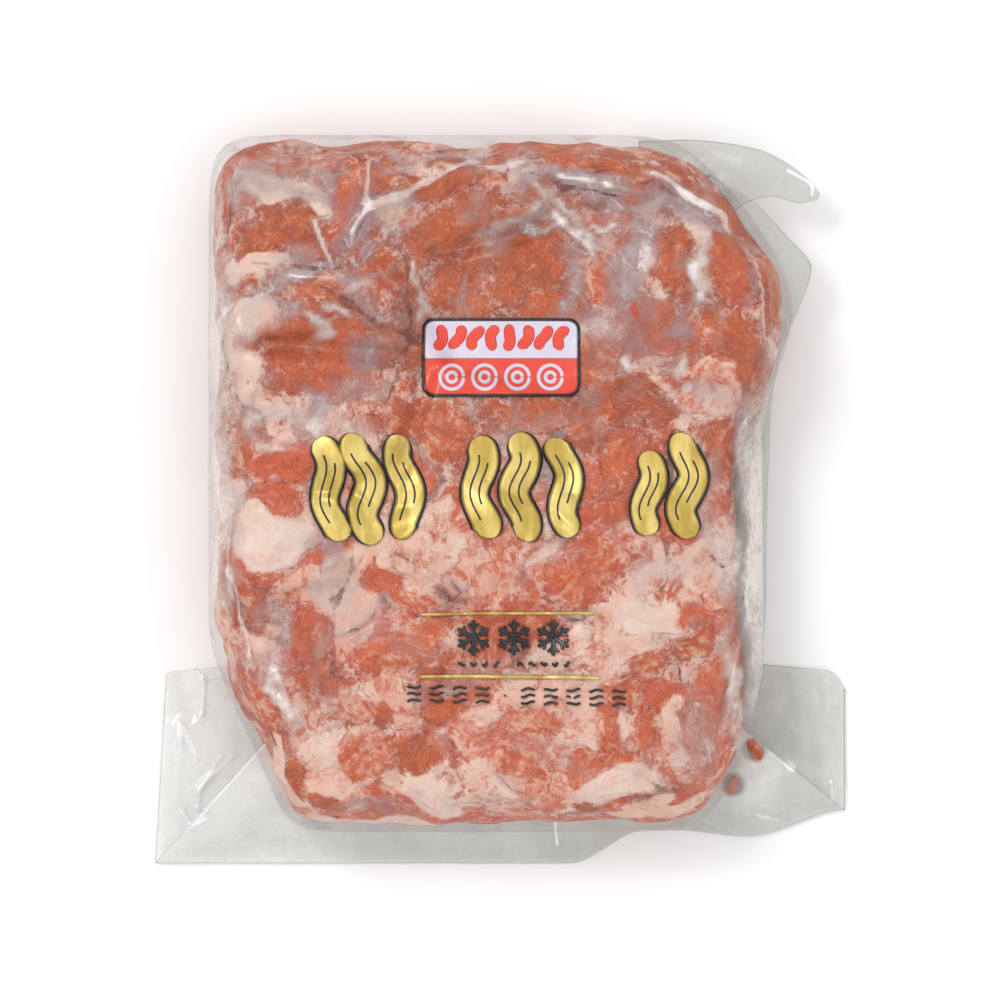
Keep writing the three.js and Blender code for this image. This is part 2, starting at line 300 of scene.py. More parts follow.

# Frosted patches: centre x, y, turn in degrees, length, width, strength, and from 0 for white to 1 for lilac.
# The lilac is the frost's dull tint over the meat, darker in part as painted shade.
FROSTS = (
    (-40.6, 80.0, 88, 22, 9, 0.75, 1.0),
    (-67.7, 95.0, 4, 34, 9, 0.55, 0.6),
    (-54.0, 89.0, -22, 22, 8, 0.65, 0.8),
    (-39.0, 62.5, 0, 12, 4.5, 0.85, 0.0),
    (-53.0, 48.5, -18, 13, 6.0, 0.9, 0.0),
    (-45.5, 54.0, -25, 11, 5.0, 0.7, 0.2),
    (-71.5, 61.8, 0, 10, 3.5, 0.8, 0.0),
    (-54.0, 64.3, 2, 52, 5, 0.85, 0.8),
    (-36.0, 59.0, -25, 24, 9, 0.5, 0.8),
    (-72.0, 50.0, 75, 30, 15, 0.45, 0.0),
    (-37.0, 41.0, 50, 24, 12, 0.5, 0.8),
    (-56.0, 22.5, -4, 46, 8, 0.6, 0.2),
    (-85.0, 45.0, 90, 64, 16, 0.7, 0.1),
    (-22.5, 55.0, 88, 34, 4, 0.6, 0.3),
    (-10.3, 57.0, 80, 16, 3, 0.5, 0.8),
    (-19.0, 99.5, 26, 40, 5, 0.6, 0.7),
    (-30.0, 100.0, 0, 60, 6, 0.4, 0.6),
    (20.5, 62.0, 86, 28, 7, 0.65, 0.8),
    (39.5, 69.0, 85, 32, 11, 0.8, 0.75),
    (33.0, 54.0, 5, 34, 9, 0.45, 0.8),
    (29.3, 49.4, 0, 13, 10, 0.7, 0.0),
    (57.0, 65.0, 84, 26, 5.5, 0.85, 0.1),
    (52.0, 83.5, -22, 24, 10, 0.85, 0.8),
    (71.5, 63.0, 85, 20, 5, 0.5, 0.9),
    (51.5, 36.5, 70, 10, 5, 0.7, 0.2),
    (55.5, 30.0, -20, 7, 4, 0.9, 0.0),
    (62.0, 30.0, 30, 12, 9, 0.55, 0.4),
    (33.0, 38.3, 0, 5, 3, 0.95, 0.0),
    (36.0, 45.0, 10, 24, 14, 0.45, 0.8),
    (52.0, 48.5, -40, 12, 6, 0.6, 0.8),
    (23.0, 91.5, -12, 40, 8, 0.85, 0.7),
    (22.0, 80.0, -45, 30, 5, 0.8, 0.3),
    (29.0, 82.4, 0, 9, 5, 0.85, 0.0),
    (19.5, 78.0, 0, 7, 5, 0.85, 0.1),
    (6.0, 78.8, 12, 32, 4.0, 0.8, 0.6),
    (15.0, 52.0, 0, 34, 5, 0.4, 0.8),
    (74.0, 12.0, 92, 50, 9, 0.6, 0.6),
    (82.0, -10.0, 90, 110, 18, 0.75, 0.1),
    (-84.0, -2.0, 90, 76, 15, 0.75, 0.1),
    (-64.0, -38.0, 105, 34, 9, 0.4, 0.6),
    (-61.5, -55.0, 100, 26, 6, 0.85, 0.1),
    (-48.0, -14.0, -40, 15, 7, 0.6, 0.8),
    (-48.5, -25.0, 80, 16, 9, 0.6, 0.3),
    (-67.0, -48.0, -40, 14, 8, 0.5, 0.9),
    (-46.0, -21.5, 0, 12, 8, 0.5, 0.3),
    (-49.4, -41.0, 90, 14, 6, 0.45, 0.5),
    (46.7, -22.0, 20, 22, 10, 0.45, 0.2),
    (66.0, -20.0, 100, 24, 13, 0.7, 0.15),
    (67.0, -52.0, 97, 44, 10, 0.65, 0.3),
    (-38.0, -90.0, -10, 24, 7, 0.45, 0.9),
    (-5.0, -91.0, 5, 26, 7, 0.3, 0.5),
    (56.0, -70.0, 80, 34, 20, 0.3, 0.6),
    (60.0, -10.6, 80, 26, 14, 0.4, 0.4),
    (-10.0, -52.0, 10, 26, 8, 0.3, 0.6),
    (10.0, 20.0, 10, 30, 8, 0.3, 0.6),
)

# Curled ridges of the loose film, at the folded mouth end and on the flaps at the closed end: start x, y,
# end x, y, half width, height. Each gets a painted highlight along its crest; at the mouth end they also
# raise the film, while on the flaps they are only painted highlight.
LOOSE_RIDGES = (
    (-89, -48, -86, -51.5, 0.8, 0.7),
    (-86, -51.5, -80, -51, 0.8, 0.7),
    (-86, -51.5, -86.5, -62, 0.7, 0.7),
    (-86.5, -62, -88.5, -65, 0.7, 0.6),
    (-93, -64, -93, -77, 0.8, 0.5),
    (-81, -74, -87.5, -85, 0.7, 0.7),
    (-87.5, -85, -88, -89, 0.7, 0.7),
    (-88, -89, -84.5, -90, 0.7, 0.7),
    (-92, -90.5, -89.5, -94.5, 0.9, 0.7),
    (-89.5, -94.5, -85, -92, 0.9, 0.7),
    (-78, -88.5, -73, -91.5, 0.7, 0.5),
    (-63, -96, -56, -96, 0.7, 0.5),
    (15.5, -89.5, 16.5, -99.5, 0.9, 0.8),
    (94, -51, 94.5, -60, 0.7, 0.4),
    (96.5, -82, 96, -87, 0.8, 0.5),
    (74, -91, 81, -93, 0.9, 0.5),
    (76.5, -70.5, 84, -77, 1.7, 0.5),
    (84, -77, 89, -79.5, 2.2, 0.36),
    (83, 95.0, 90.2, 91, 1.2, 0.5),
    (90.2, 91, 90.0, 88, 1.0, 0.5),
    (62, 100, 69, 97.5, 4.0, 0.38),
    (-77, -74, -81, -74.5, 0.7, 0.6),
    (-77, -74, -87.5, -83.5, 0.8, 0.8),
    (-92, -66, -88, -74, 2.4, 0.5),
)

# Loose scraps of bacon in the film beside the block: x, y, z, turn in degrees, length, width.
SCRAPS = (
    (73.5, -72.0, 13.2, -70, 7.5, 4.0),
    (67.2, -82.0, 12.5, 60, 6.5, 3.0),
)

# Loose film beside the block at the closed end: the two edges of each flap, as x, y along it.
CORNER_EAR = (
    ((40, 103.5), (56, 103.8), (73, 101.4), (82, 97.5), (89, 92.3), (92.4, 88.2)),
    ((40, 70), (58, 76), (70, 85.0), (78, 87.4), (86, 85.6), (91.4, 86.4)),
)
SIDE_FIN = (
    (
        (60, 94), (72.6, 86.1), (82.8, 75.9), (88.8, 69.5), (89.6, 65), (86.5, 56),
        (81.5, 44), (78.5, 30), (77.5, 12), (76.8, -10), (76.4, -35), (74, -60),
    ),
    (
        (50, 80), (60, 76), (66, 70), (68, 64), (68, 58), (68, 50),
        (66, 40), (64, 28), (62, 12), (62, -10), (62, -35), (62, -60),
    ),
)


# ---- Curves and fields ------------------------------------------------------------------------------


def ease(x, low, high):
    """0 below low, 1 above high, and a smooth S between: t squared times (3 - 2t)."""
    t = np.clip((x - low) / (high - low), 0.0, 1.0)
    return t * t * (3.0 - 2.0 * t)


def turned(x, y, degrees):
    """x and y turned by an angle about the origin."""
    angle = math.radians(degrees)
    return x * math.cos(angle) - y * math.sin(angle), x * math.sin(angle) + y * math.cos(angle)


def away_from_line(x, y, x0, y0, x1, y1):
    """Distance of points from a straight line between two ends."""
    length2 = (x1 - x0) ** 2 + (y1 - y0) ** 2
    t = np.clip(((x - x0) * (x1 - x0) + (y - y0) * (y1 - y0)) / length2, 0.0, 1.0)
    return np.hypot(x - x0 - t * (x1 - x0), y - y0 - t * (y1 - y0))


def ridges(x, y, lines):
    """Height of narrow ridges along straight lines: a bell curve of the distance from each line."""
    height = np.zeros_like(x)
    for x0, y0, x1, y1, half_width, top in lines:
        away = away_from_line(x, y, x0, y0, x1, y1)
        height = height + top * np.exp(-1.5 * (away / half_width) ** 2)
    return height


def smooth_curve(points, count):
    """A Catmull-Rom curve through points, as x and y at evenly spaced steps of its parameter."""
    knots = np.array(points, float)
    knots = np.concatenate([2 * knots[:1] - knots[1:2], knots, 2 * knots[-1:] - knots[-2:-1]])
    t = np.linspace(0, len(points) - 1, count)
    k = np.minimum(t.astype(int), len(points) - 2)
    f = (t - k)[:, None]
    p0, p1, p2, p3 = (knots[k + step] for step in range(4))
    square = 2 * p0 - 5 * p1 + 4 * p2 - p3
    cube = 3 * p1 - p0 - 3 * p2 + p3
    curve = 2 * p1 + (p2 - p0) * f + square * f**2 + cube * f**3
    return curve[:, 0] / 2, curve[:, 1] / 2


def unit_square_to_disc(across, along, power):
    """Points of the square from -1 to 1 moved so that its rings become superellipses of that power."""
    ring = np.maximum(np.maximum(np.abs(across), np.abs(along)), 1e-9)
    a, b = across / ring, along / ring
    shrink = np.maximum(np.abs(a) ** power + np.abs(b) ** power, 1e-9) ** (-1.0 / power)
    return across * shrink, along * shrink


def face_level(x, y):
    """Height of the film on the printed face: a crown, the highest swelling at each point, less valleys."""
    level = FACE_LEVEL + CROWN * (1 - (x / BAG_HALF) ** 2) * (1 - (y / BLOCK_TOP) ** 2)
    raised = np.zeros_like(x)
    for cx, cy, turn, length, width, height in SWELLINGS:
        along, across = turned(x - cx, y - cy, -turn)
        rim = (2 * along / length) ** 4 + (2 * across / width) ** 4
        raised = np.maximum(raised, height * (1 - ease(rim, 0.25, 1.5)))
    drawn = np.zeros_like(x)
    for x0, y0, x1, y1, half_width, depth in VALLEYS:
        away = away_from_line(x, y, x0, y0, x1, y1)
        drawn = np.maximum(drawn, depth * (1 - ease(away, 0, half_width)))
    return level + raised - drawn


def outline_reach():
    """The block's outline as angles about its middle and how far it reaches at each.

    It is a superellipse, stretched across between two side lines that draw in towards the mouth end.
    """
    angles = np.linspace(-math.pi, math.pi, 1441)
    ring = np.maximum(np.abs(np.cos(angles)), np.abs(np.sin(angles)))
    across, along = np.cos(angles) / ring, np.sin(angles) / ring
    top = TOP_LEFT_POWER + (TOP_RIGHT_POWER - TOP_LEFT_POWER) * ease(across, -0.9, 0.9)
    bottom = BOTTOM_LEFT_POWER + (BOTTOM_RIGHT_POWER - BOTTOM_LEFT_POWER) * ease(across, -0.9, 0.9)
    across, along = unit_square_to_disc(across, along, bottom + (top - bottom) * ease(along, -0.9, 0.9))
    y = BLOCK_MIDDLE + along * (BLOCK_TOP - BLOCK_BOTTOM) / 2
    left = BLOCK_LEFT + LEFT_DRAW * ease(-y, 34, 92)
    right = BLOCK_RIGHT + RIGHT_SWELL * ease(y, 18, 60) - RIGHT_DRAW * (1 - ease(y, -100, -45))
    x = (left + right) / 2 + across * (right - left) / 2
    return np.arctan2(y - BLOCK_MIDDLE, x), np.hypot(x, y - BLOCK_MIDDLE)


OUTLINE_ANGLES, OUTLINE_REACHES = outline_reach()


def reach(angle):
    """How far the block's outline lies from its middle at an angle."""
    return np.interp(angle, OUTLINE_ANGLES, OUTLINE_REACHES, period=2 * math.pi)


def on_block(x, y, lift, side=1):
    """Points of the block from places on its chart, lifted off its film by lift.

    Inside the rim the place is the real x and y. Past the rim the way left turns into a quarter of an
    ellipse down to the side seam, and what reaches past the seam is squeezed in just beyond it. side is 1
    for the printed face and -1 for the back, which is flat.
    """
    dx, dy = x, y - BLOCK_MIDDLE
    far = np.maximum(np.hypot(dx, dy), 1e-9)
    flat = reach(np.arctan2(dy, dx)) - EDGE
    share = np.maximum((far - flat) / EDGE_RUN, 0.0)
    beyond = np.maximum(share - 1, 0.0)
    squeeze = 0.25
    turn = (np.minimum(share, 1) + squeeze * (1 - np.exp(-beyond / squeeze))) * math.pi / 2
    run = np.minimum(far, flat) + EDGE * np.sin(turn) + lift * np.sin(turn)
    px, py = dx / far * run, dy / far * run + BLOCK_MIDDLE
    level = face_level(px, py) if side > 0 else np.zeros_like(px)
    pz = SEAM_LEVEL + (level - SEAM_LEVEL) * np.cos(turn) + side * lift * np.cos(turn)
    return np.stack([px, py, pz], axis=-1)


def past_rim(x, y):
    """How far down the rounded edge a place on the chart lies: 0 on the face, 1 at the side seam."""
    dx, dy = x, y - BLOCK_MIDDLE
    return np.clip((np.hypot(dx, dy) - reach(np.arctan2(dy, dx)) + EDGE) / EDGE_RUN, 0.0, 1.0)


def chart_grid(across, along):
    """Places on the chart for a square grid, whose rings follow the block's outline out to the seam."""
    ring = np.maximum(np.abs(across), np.abs(along))
    edge_x, edge_y = across / np.maximum(ring, 1e-9), along / np.maximum(ring, 1e-9)
    angle = np.arctan2(edge_y * (BLOCK_TOP - BLOCK_BOTTOM), edge_x * (BLOCK_RIGHT - BLOCK_LEFT))
    far = ring * (reach(angle) - EDGE + EDGE_RUN)
    return far * np.cos(angle), far * np.sin(angle) + BLOCK_MIDDLE


def slack(x, y):
    """How far the slices draw back from the film at the block's sides, most on the lower right."""
    right = ease(x, 20, 70) * ease(y, -86, -50) * (1 - ease(y, 2, 30))
    return past_rim(x, y) * (1.6 + 8.0 * right)


STEP = 0.5  # spacing of a field's points
FIELD_X = np.arange(-118.0, 118.0 + STEP, STEP)
FIELD_Y = np.arange(-126.0, 134.0 + STEP, STEP)
GRID_X, GRID_Y = np.meshgrid(FIELD_X, FIELD_Y)


def blur(field, size):
    """A field smoothed by a Gaussian of that size in millimetres, in the frequency domain."""
    rows, columns = field.shape
    down = np.fft.fftfreq(rows, STEP)[:, None]
    over = np.fft.rfftfreq(columns, STEP)[None, :]
    gain = np.exp(-2 * (math.pi * size) ** 2 * (down**2 + over**2))
    return np.fft.irfft2(np.fft.rfft2(field) * gain, s=field.shape)


def soft_cover(field, size, stiffness=1.1):
    """A smooth sheet laid over a field, which keeps to its peaks.

    It is the logarithm of the field's blurred exponential. The stiffer the sheet, the closer it keeps.
    """
    base = field.max()
    return base + np.log(np.maximum(blur(np.exp(stiffness * (field - base)), size), 1e-12)) / stiffness


def lowest_near(field, steps):
    """The least of a field within a few points of each point."""
    low = field
    for _ in range(steps):
        for axis in (0, 1):
            low = np.minimum(low, np.minimum(np.roll(low, 1, axis), np.roll(low, -1, axis)))
    return low


def cloud(seed, size):
    """Smooth seeded noise of a given size in millimetres, with a spread of 1."""
    noise = blur(np.random.default_rng(seed).standard_normal(GRID_X.shape), size)
    return noise / noise.std()


def sample(field, x, y):
    """A field read between its points, linearly both ways."""
    column = np.clip((x - FIELD_X[0]) / STEP, 0, len(FIELD_X) - 1.001)
    row = np.clip((y - FIELD_Y[0]) / STEP, 0, len(FIELD_Y) - 1.001)
    j, i = column.astype(int), row.astype(int)
    s, t = column - j, row - i
    upper = field[i, j] * (1 - s) + field[i, j + 1] * s
    lower = field[i + 1, j] * (1 - s) + field[i + 1, j + 1] * s
    return upper * (1 - t) + lower * t


def wandering_ridges(x, y, lines):
    """Height of ridges whose straight lines wander by about a millimetre, all with one slow noise."""
    wander_x, wander_y = (0.9 * sample(cloud(seed, 4.5), x, y) for seed in (91, 92))
    return ridges(x + wander_x, y + wander_y, lines)


# ---- Meshes -----------------------------------------------------------------------------------------


def make_piece(name, points, faces, material, values=None, uv=None):
    """A mesh object from points in millimetres and four-sided faces, with values and a UV at each point."""
    mesh = bpy.data.meshes.new(name)
    mesh.vertices.add(len(points))
    mesh.vertices.foreach_set("co", (np.asarray(points, float) / MM).ravel())
    mesh.loops.add(faces.size)
    mesh.loops.foreach_set("vertex_index", faces.ravel())
    mesh.polygons.add(len(faces))
    mesh.polygons.foreach_set("loop_start", np.arange(0, faces.size, faces.shape[1]))
    mesh.update(calc_edges=True)
    mesh.polygons.foreach_set("use_smooth", np.ones(len(faces), bool))
    for key, numbers in (values or {}).items():
        attribute = mesh.attributes.new(key, "FLOAT", "POINT")
        attribute.data.foreach_set("value", np.asarray(numbers, float).ravel())
    if uv is not None:
        layer = mesh.uv_layers.new(name="UVMap")
        layer.data.foreach_set("uv", uv.reshape(-1, 2)[faces.ravel()].ravel())
    mesh.validate()
    piece = bpy.data.objects.new(name, mesh)
    bpy.context.scene.collection.objects.link(piece)
    mesh.materials.append(material)
    return piece


def quads(index):
    """Four-sided faces of a grid of point numbers, seen from above where columns run right and rows up."""
    corners = index[:-1, :-1], index[:-1, 1:], index[1:, 1:], index[1:, :-1]
    return np.stack(corners, axis=-1).reshape(-1, 4)


def closed_pair(rows, columns):
    """Point numbers of an upper and a lower grid that share their border, and how many points there are."""
    upper = np.arange(rows * columns).reshape(rows, columns)
    lower = upper.copy()
    inner = (rows - 2) * (columns - 2)
    lower[1:-1, 1:-1] = rows * columns + np.arange(inner).reshape(rows - 2, columns - 2)
    return upper, lower, rows * columns + inner


def cushion(top, bottom):
    """Points and faces of a closed skin between two grids of points that meet at their border.

    top and bottom are arrays of rows, columns and x, y, z, or more such grids stacked in front.
    """
    stack = top.reshape(-1, *top.shape[-3:])
    under = bottom.reshape(stack.shape)
    count, rows, columns, _ = stack.shape
    upper, lower, size = closed_pair(rows, columns)
    faces = np.concatenate([quads(upper), quads(lower)[:, ::-1]])
    points = np.concatenate(
        [stack.reshape(count, -1, 3), under[:, 1:-1, 1:-1].reshape(count, -1, 3)], axis=1
    )
    all_faces = faces[None] + (np.arange(count) * size)[:, None, None]
    return points.reshape(-1, 3), all_faces.reshape(-1, 4)


def cushion_values(top, bottom):
    """Values at the points that cushion makes, from values on the two grids."""
    stack = top.reshape(-1, *top.shape[-2:])
    under = bottom.reshape(stack.shape)
    count = len(stack)
    return np.concatenate(
        [stack.reshape(count, -1), under[:, 1:-1, 1:-1].reshape(count, -1)], axis=1
    ).ravel()


def border_numbers(rows, columns):
    """Point numbers round a grid's border, against the clock as seen from above."""
    index = np.arange(rows * columns).reshape(rows, columns)
    return np.concatenate([index[0, :-1], index[:-1, -1], index[-1, :0:-1], index[:0:-1, 0]])


def draped_skins(tops, hems, middles):
    """Points and faces of closed skins: each a grid, a wall down from its border to a hem, and a flat base.

    tops is an array of grids of x, y, z, hems the points under their borders, and middles the points that
    the base fans out from, with one face for every two steps along the hem.
    """
    count, rows, columns, _ = tops.shape
    size = rows * columns
    border = border_numbers(rows, columns)
    hem = size + np.arange(len(border))
    wall = np.stack([border, hem, np.roll(hem, -1), np.roll(border, -1)], axis=-1)
    middle = np.full(len(border) // 2, size + len(border))
    base = np.stack([middle, np.roll(hem, -2)[::2], hem[1::2], hem[::2]], axis=-1)
    faces = np.concatenate([quads(np.arange(size).reshape(rows, columns)), wall, base])
    points = np.concatenate([tops.reshape(count, -1, 3), hems, middles[:, None]], axis=1)
    all_faces = faces[None] + (np.arange(count) * points.shape[1])[:, None, None]
    return points.reshape(-1, 3), all_faces.reshape(-1, 4)


def draped_values(grids):
    """Values at the points that draped_skins makes, from values on the grids."""
    flat = grids.reshape(len(grids), -1)
    hems = flat[:, border_numbers(*grids.shape[1:])]
    return np.concatenate([flat, hems, flat.mean(axis=1, keepdims=True)], axis=1).ravel()


def square_grid(rows, columns):
    """Across and along from -1 to 1 on a grid."""
    return np.meshgrid(np.linspace(-1, 1, columns), np.linspace(-1, 1, rows))


# ---- The slices -------------------------------------------------------------------------------------


def filler_slices(seed, count):
    """Seeded slices spread over the chart in a jittered lattice, in the form of FACE_SLICES.

    They are fatter and pinker towards the mouth end.
    """
    random = np.random.default_rng(seed)
    half_x, half_y = 104.0, 122.0
    jitter = 6
    columns = max(2, round(math.sqrt(count * half_x / half_y)))
    rows = math.ceil(count / columns)
    slot = np.arange(rows * columns)
    x = (slot % columns + 0.5) / columns * 2 * half_x - half_x + random.normal(0, jitter, slot.size)
    y = (slot // columns + 0.5) / rows * 2 * half_y - half_y + BLOCK_MIDDLE
    y = y + random.normal(0, jitter, slot.size)
    turn = random.uniform(-90, 90, slot.size)
    length = random.uniform(26, 52, slot.size)
    width = random.uniform(12, 24, slot.size)
    fatter = ease(-y, -30, 20)
    lean = np.clip(random.beta(2.2, 1.3, slot.size) * (1.0 - 0.12 * fatter), 0, 1)
    tone = np.clip(random.normal(0.3 + 0.35 * fatter, 0.2, slot.size), 0, 1)
    order = random.permutation(slot.size)
    return np.stack([x, y, turn, length, width, lean, tone], axis=1)[order]


class SliceBed:
    """The growing heap over the chart: its height, and the lean, tone and rim of the slice on top."""

    # Waves round the rim of a slice: how many go round, and how far they reach, for a half width of 1.
    RIM_WAVES = ((2, 0.05), (3, 0.07), (4, 0.06), (6, 0.045), (9, 0.03))

    def __init__(self, seed):
        self.height = 0.35 * cloud(seed, 5.0)
        bare = {"lean": 0.5, "tone": 0.4, "rim": 1.0}
        self.paint = {key: np.full_like(self.height, share) for key, share in bare.items()}
        self.drift = [1.4 * cloud(seed + k, 3.6) + 0.33 * cloud(seed + k + 2, 1.3) for k in (2, 3)]
        self.random = np.random.default_rng(seed + 1)

    def lay(self, row, rows, columns):
        """Lays one slice, and returns its grid: place on the chart, height of its top and its own u and v.

        The slice's outline is a superellipse with a ragged rim, its middle line bent into a shallow arc, and
        all of it drifts with a noise. Its top is the soft cover of what lies under it, plus its thickness
        and a few ripples. It thins out to the rim, which sinks in a little.
        """
        cx, cy, turn, length, width, lean, tone = row
        bend = self.random.uniform(-1, 1) * 0.5 / length
        phase = self.random.uniform(0, 2 * math.pi, 6)
        ripple = self.random.uniform(0.05, 0.3)

        def rim(angle):
            ragged = zip(self.RIM_WAVES, phase)
            return 1 + sum(size * np.sin(count * angle + start) for (count, size), start in ragged)

        margin = length / 2 + 10
        j0, j1 = np.searchsorted(FIELD_X, (cx - margin, cx + margin))
        i0, i1 = np.searchsorted(FIELD_Y, (cy - margin, cy + margin))
        window = slice(max(i0, 0), i1), slice(max(j0, 0), j1)
        wx, wy = GRID_X[window], GRID_Y[window]
        bed = soft_cover(self.height[window], size=2.0)
        u, v = turned(wx - cx + self.drift[0][window], wy - cy + self.drift[1][window], -turn)
        v = v - bend * u**2
        a, b = 2 * u / length, 2 * v / width
        round_sum = np.abs(a) ** SLICE_POWER + np.abs(b) ** SLICE_POWER
        inside = round_sum ** (1 / SLICE_POWER) / rim(np.arctan2(b, a))
        waves = ripple * np.sin(u / 3.1 + phase[4]) * np.sin(v / 4.3 + phase[5])
        cover = 1 - ease(inside, *SLICE_THINNING)
        self.height[window] += (bed + SLICE + waves - self.height[window]) * cover
        shown = 1 - ease(inside, 0.94, 1.02)
        for key, there in (("lean", lean), ("tone", tone), ("rim", np.minimum(inside, 1.0))):
            self.paint[key][window] += (there - self.paint[key][window]) * shown

        across, along = square_grid(rows, columns)
        sa, sb = unit_square_to_disc(across, along, SLICE_POWER)
        swell = rim(np.arctan2(sb, sa))
        mu, mv = sa * swell * length / 2, sb * swell * width / 2
        x, y = turned(mu, mv + bend * mu**2, turn)
        x, y = x + cx, y + cy
        goal_x, goal_y = x, y
        # The drift is undone in a few steps, so that the grid lies where the slice was painted.
        for _ in range(6):
            x, y = goal_x - sample(self.drift[0], x, y), goal_y - sample(self.drift[1], x, y)
        ring = np.maximum(np.abs(across), np.abs(along))
        local = np.clip((x - FIELD_X[window[1]][0]) / STEP, 0, wx.shape[1] - 1.001).round().astype(int)
        down = np.clip((y - FIELD_Y[window[0]][0]) / STEP, 0, wx.shape[0] - 1.001).round().astype(int)
        top = (bed + waves)[down, local] + (SLICE + RIM_SINK) * (1 - ease(ring, *SLICE_THINNING)) - RIM_SINK
        return x, y, top, mu, mv


def lay_all(bed, slices, rows, columns):
    """Lays slices in turn, each as a grid of so many rows and columns, and stacks what each returns."""
    laid = [bed.lay(row, rows, columns) for row in slices]
    x, y, top, u, v = (np.stack(part) for part in zip(*laid))
    return {"x": x, "y": y, "top": top, "u": u, "v": v}


def slices_piece(name, laid, bed, level, film, side, material, seed):
    """One mesh of closed slices, each at the height it was laid, less the heap's general level.

    A slice is held under the lowest film near each of its points. It is a curved top with a wall down to a
    flat base, which lies hidden under its lowest point. The colours of the slices run into each other a
    little, as frozen meat does, so their lean, tone and rim are read from the bed's paint.
    """
    x, y = laid["x"], laid["y"]
    order = LATER_RISE * np.arange(len(x))[:, None, None]
    highest = sample(lowest_near(film, 3), x, y) - FILM_GAP + order
    lift = np.minimum(laid["top"] - sample(level, x, y) - MEAT_DEPTH, highest) - slack(x, y)
    if side < 0:
        lift = np.minimum(lift, order - BACK_DEPTH) - BACK_DRAW * past_rim(x, y)
    border = border_numbers(*x.shape[1:])
    deep = lift.min(axis=(1, 2)) - BASE_DROP
    hems = on_block(*(part.reshape(len(part), -1)[:, border] for part in (x, y)), deep[:, None], side)
    middles = on_block(x.mean(axis=(1, 2)), y.mean(axis=(1, 2)), deep, side)
    points, faces = draped_skins(on_block(x, y, lift, side), hems, middles)
    if side < 0:
        faces = faces[:, ::-1]
    shift = np.random.default_rng(seed).uniform(0, 900, (len(x), 2))
    u = draped_values(laid["u"] + shift[:, 0, None, None])
    v = draped_values(laid["v"] + shift[:, 1, None, None])
    values = {key: draped_values(sample(blur(paint, 0.55), x, y)) for key, paint in bed.paint.items()}
    return make_piece(name, points, faces, material, values, np.stack([u, v], axis=-1))


class Heap:
    """Both sides of the block's heap of slices, and the film's lift that follows from them."""

    def __init__(self):
        bed = SliceBed(seed=11)
        self.under = lay_all(bed, filler_slices(seed=12, count=190), rows=17, columns=25)
        self.shown = lay_all(bed, np.array(FACE_SLICES, float), rows=25, columns=37)
        self.face_bed = bed
        self.face_general = blur(bed.height, GENERAL_SPAN)
        back = SliceBed(seed=21)
        self.back = lay_all(back, filler_slices(seed=22, count=150), rows=19, columns=27)
        self.back_bed = back
        self.back_general = blur(back.height, GENERAL_SPAN)
        self.face_film, self.face_gap = self.film_over(bed.height - self.face_general, CREASES)
        self.back_film, self.back_gap = self.film_over(back.height - self.back_general, ())

    @staticmethod
    def film_over(heave, creases):
        """The film's lift and its gap to the slices.

        It is the soft cover of the slices, wider from peak to peak towards the closed end and never under
        them, with sharp creases added.
        """
        meat = heave - MEAT_DEPTH
        tight = soft_cover(meat, size=1.3, stiffness=2.0)
        wide = soft_cover(meat, size=2.6, stiffness=1.8)
        cover = tight + (wide - tight) * 0.8 * ease(GRID_Y, -20, 30)
        film = np.maximum(blur(cover, 0.7), meat) + 0.12
        film = np.maximum(blur(film, 0.5), meat + 0.05)
        film = film + wandering_ridges(GRID_X, GRID_Y, creases)
        return film, film - meat

    @staticmethod
    def core_lift(film, gap, x, y):
        """The core's lift: a slice and a bit under the top of the slices, which is the film less its gap."""
        meat = blur(film - gap, 0.8)
        highest = sample(film, x, y) - 0.3
        return np.minimum(sample(meat, x, y), highest) - 1.4 - slack(x, y)


# ---- Materials --------------------------------------------------------------------------------------


class Number:
    """A number or colour in a material: a socket, on which sums written in Python add Math nodes."""

    def __init__(self, recipe, socket):
        self.recipe = recipe
        self.socket = socket

    def sum(self, operation, first, second=0.0):
        return self.recipe.add("ShaderNodeMath", {"operation": operation}, {0: first, 1: second})

    def __add__(self, other):
        return self.sum("ADD", self, other)

    def __radd__(self, other):
        return self.sum("ADD", other, self)

    def __sub__(self, other):
        return self.sum("SUBTRACT", self, other)

    def __rsub__(self, other):
        return self.sum("SUBTRACT", other, self)

    def __mul__(self, other):
        return self.sum("MULTIPLY", self, other)

    def __rmul__(self, other):
        return self.sum("MULTIPLY", other, self)

    def __truediv__(self, other):
        return self.sum("DIVIDE", self, other)

    def between(self, low, high):
        """0 below low and 1 above high, with a smooth S between."""
        sockets = {"Value": self, "From Min": low, "From Max": high}
        return self.recipe.add("ShaderNodeMapRange", {"interpolation_type": "SMOOTHSTEP"}, sockets)

    def size(self):
        return self.sum("ABSOLUTE", self)

    def most(self, other):
        return self.sum("MAXIMUM", self, other)

    def least(self, other):
        return self.sum("MINIMUM", self, other)


